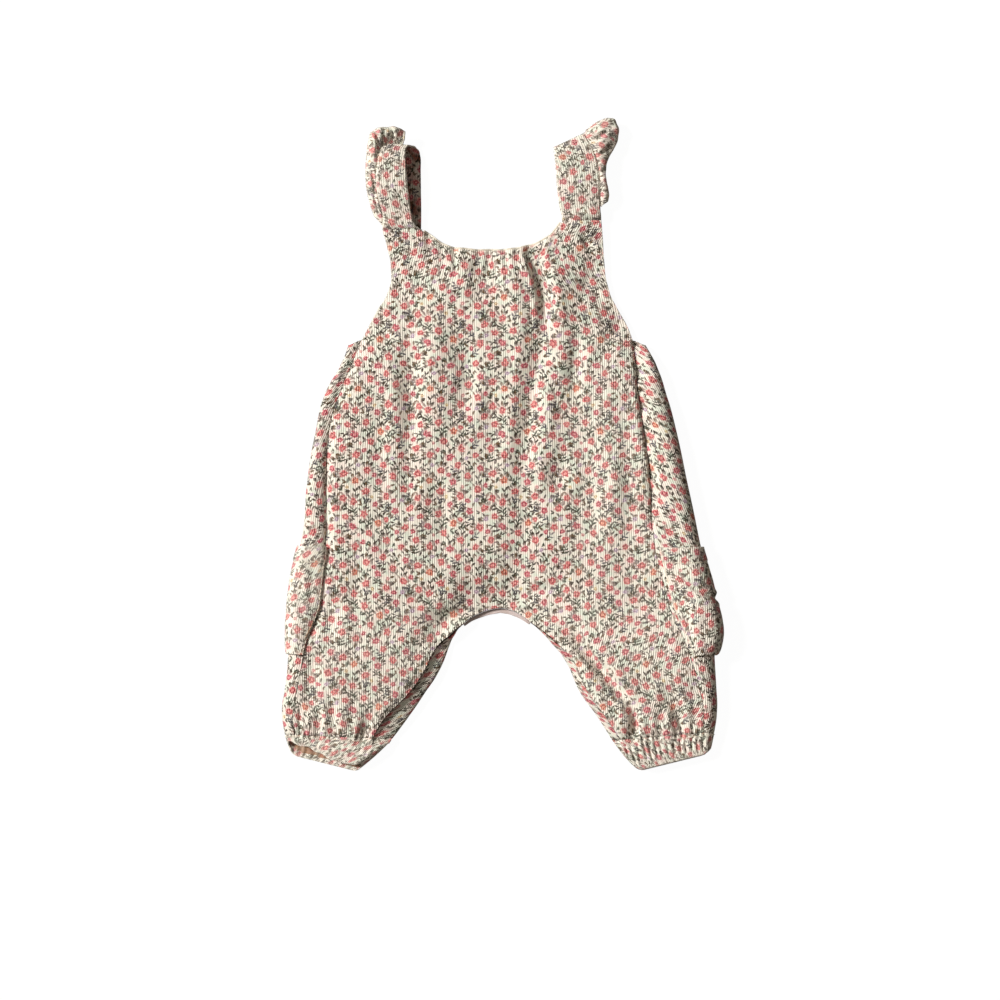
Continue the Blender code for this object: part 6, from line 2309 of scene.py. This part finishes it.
@dataclass
class CrotchTape:
    """The pale crotch edge of the back that shows below the front."""

    width: float = 3.4
    columns: int = 80
    wall: float = 1.2

    def build(self, shop: Workshop, grids: tuple) -> None:
        """Makes and dresses the tape."""
        _, _, left, right = grids
        rows = LEG_ROWS // 4
        arch = np.concatenate((left[:rows, -1][::-1], [[*CROTCH, 0.0]], right[:rows, 0]))
        arch[:, 2] = 0
        arch = evened(arch, self.columns)
        along = np.gradient(arch, axis=0)
        out = np.stack((along[:, 1], -along[:, 0], 0 * along[:, 0]), axis=1)
        out /= np.linalg.norm(out, axis=1, keepdims=True)
        t = np.linspace(0, 1, self.columns + 1)
        width = self.width * np.sqrt(np.sin(pi * lerp(0.06, 0.94, t)))
        shares = np.linspace(0, 1, 6)
        grid = np.stack([arch + out * (SEAM_GAP + width * share)[:, None] for share in shares])
        grid[..., 2] = 0.0
        patch = patch_of(grid, 0).turned()
        obj = shell("crotch_tape", [patch], self.wall)
        for side in (0, 1):
            obj.data.materials[side] = shop.materials["band"]
        shop.place(obj, "band", "crotch_band")


@dataclass
class Studio:
    """The pale floor, the soft light and the camera."""

    centre: tuple = (-1.44, -39.6)
    frame: float = 720.0
    lens: float = 180.0
    sensor: float = 36.0
    sun_from: tuple = (-0.76, 0.29, 0.60)
    sun_strength: float = 4.45
    sun_width: float = 14.0
    sun_colour: tuple = (1.0, 0.98, 0.955)
    sky: tuple = (0.216, 0.194, 0.172, 1)
    ground: tuple = (0.07, 0.06, 0.05, 1)
    backdrop: tuple = (0.93, 0.93, 0.93, 1)
    floor_glow: float = 0.965
    floor_size: float = 16.0
    floor_drop: float = 0.4

    def build(self) -> None:
        """Sets the stage."""
        self.floor()
        self.light()
        self.camera()
        log.info("studio ready")

    def floor(self) -> None:
        """Lays the floor."""
        bpy.ops.mesh.primitive_plane_add(size=self.floor_size, location=(0, 0, -self.floor_drop * MM))
        floor = bpy.context.active_object
        floor.name = "studio_floor"
        material, g, shader = blank_material("studio_floor")
        looks = {
            "Base Color": (0.07, 0.07, 0.07, 1),
            "Roughness": 0.95,
            "Specular IOR Level": 0.0,
            "Emission Color": (1, 1, 1, 1),
            "Emission Strength": self.floor_glow,
        }
        g.fill(shader, looks)
        floor.data.materials.append(material)
        floor.visible_diffuse = False
        floor.visible_glossy = False

    def light(self) -> None:
        """Hangs one soft sun and a pale sky."""
        data = bpy.data.lights.new("key", "SUN")
        data.energy = self.sun_strength
        data.angle = np.radians(self.sun_width)
        data.color = self.sun_colour
        key = bpy.data.objects.new("key", data)
        key.rotation_mode = "QUATERNION"
        key.rotation_quaternion = Vector(self.sun_from).to_track_quat("Z", "Y")
        bpy.context.scene.collection.objects.link(key)
        world = bpy.data.worlds.new("studio")
        world.use_nodes = True
        g = Graph(world.node_tree)
        shader = world.node_tree.nodes["Background"]
        place = g.add("ShaderNodeTexCoord").outputs["Generated"]
        height = g.parts(place)[2]
        above = g.step(height, -0.15, 0.25)
        lit = g.mix(above, self.ground, self.sky)
        seen = g.add("ShaderNodeLightPath").outputs["Is Camera Ray"]
        g.fill(shader, {"Color": g.mix(seen, lit, self.backdrop)})
        bpy.context.scene.world = world
        bpy.context.scene.view_settings.view_transform = "Standard"

    def camera(self) -> None:
        """Puts the camera straight above, with the photo's framing."""
        data = bpy.data.cameras.new("camera")
        data.lens = self.lens
        data.sensor_width = self.sensor
        data.clip_end = 50.0
        camera = bpy.data.objects.new("camera", data)
        height = self.frame * MM * self.lens / self.sensor
        camera.location = (self.centre[0] * MM, self.centre[1] * MM, height + 6 * MM)
        bpy.context.scene.collection.objects.link(camera)
        bpy.context.scene.camera = camera


class Overalls:
    """The whole garment, piece by piece, in the order that a maker would lay it out."""

    def __init__(self) -> None:
        """Prepares the form, the print and the finishes."""
        effects = Effects()
        # Painted shade: the inner faces of straps and frills are the same print, darkened to red-brown as
        # if shadowed by the strap's front run
        painted_shade_lining = colour(148, 96, 78)
        cloths = (
            Needlecord("cord_front"),
            Needlecord("cord_back"),
            # the fades of these three are painted light: paler copies of the same cloth for pieces in
            # brighter light
            Needlecord("cord_trim", fade=0.04),
            Needlecord("cord_strap_painted_light", fade=0.07, rib_height=0.3, groove_shade=0.15),
            Needlecord("cord_soft_painted_light", fade=0.12, rib_height=0.2, groove_shade=0.1),
            Needlecord("cord_painted_shade_lining", painted_shade_lining, hem_rub_and_painted_light=0.0, nap=painted_shade_lining),
            WrongSide(),
        )
        trims = (
            PlainTrim("binding", colour(232, 226, 210)),
            PlainTrim("band", colour(214, 198, 194)),
            PlainTrim("thread", colour(240, 230, 212), 0.4),
        )
        materials = {cloth.name: cloth.build(effects) for cloth in cloths}
        materials.update({trim.name: trim.build() for trim in trims})
        self.shop = Workshop(Form(), Print(), materials, stitch_tree(), sweep_tree())

    def build(self) -> None:
        """Makes every piece."""
        shop = self.shop
        body, *legs = FrontPanel().build(shop)
        front_edge = body[0]
        printed_edge = np.hstack((front_edge, cloth_grid(body, FRONT_HALF)[0]))
        grids = BackPanel().build(shop)
        back_edge = grids[0][0]
        for name, size in POCKETS.items():
            Pocket(name, size).build(shop, grids)
        for strap in (
            Strap("strap_left", LEFT_STRAP, (-86.0, -57.5), (0.0225, 0.135), FRONT_SHIFT),
            Strap("strap_right", RIGHT_STRAP, (43.4, 71.5), (0.027, 0.131), (16.0, 9.0)),
        ):
            strap.build(shop, printed_edge, back_edge)
        Ruffle("ruffle_left", LEFT_RUFFLE, False, (0.096, 0.0150), "strap_left_cloth").build(shop)
        Ruffle("ruffle_right", RIGHT_RUFFLE, True, (0.082, 0.0140), "strap_right_cloth").build(shop)
        for (name, size), leg, back in zip(CUFFS.items(), legs, (grids[2][-1], grids[3][-1][::-1])):
            Cuff(name, size).build(shop, leg_end(leg[-1], back))
        NeckRoll().build(shop, front_edge)
        CrotchTape().build(shop, grids)


def main() -> None:
    """Builds the garment on its frame, and the studio round it."""
    logging.basicConfig(level=logging.INFO, format="%(name)s: %(message)s")
    for obj in list(bpy.data.objects):
        bpy.data.objects.remove(obj, do_unlink=True)
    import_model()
    Overalls().build()
    Studio().build()


if __name__ == "__main__":
    main()
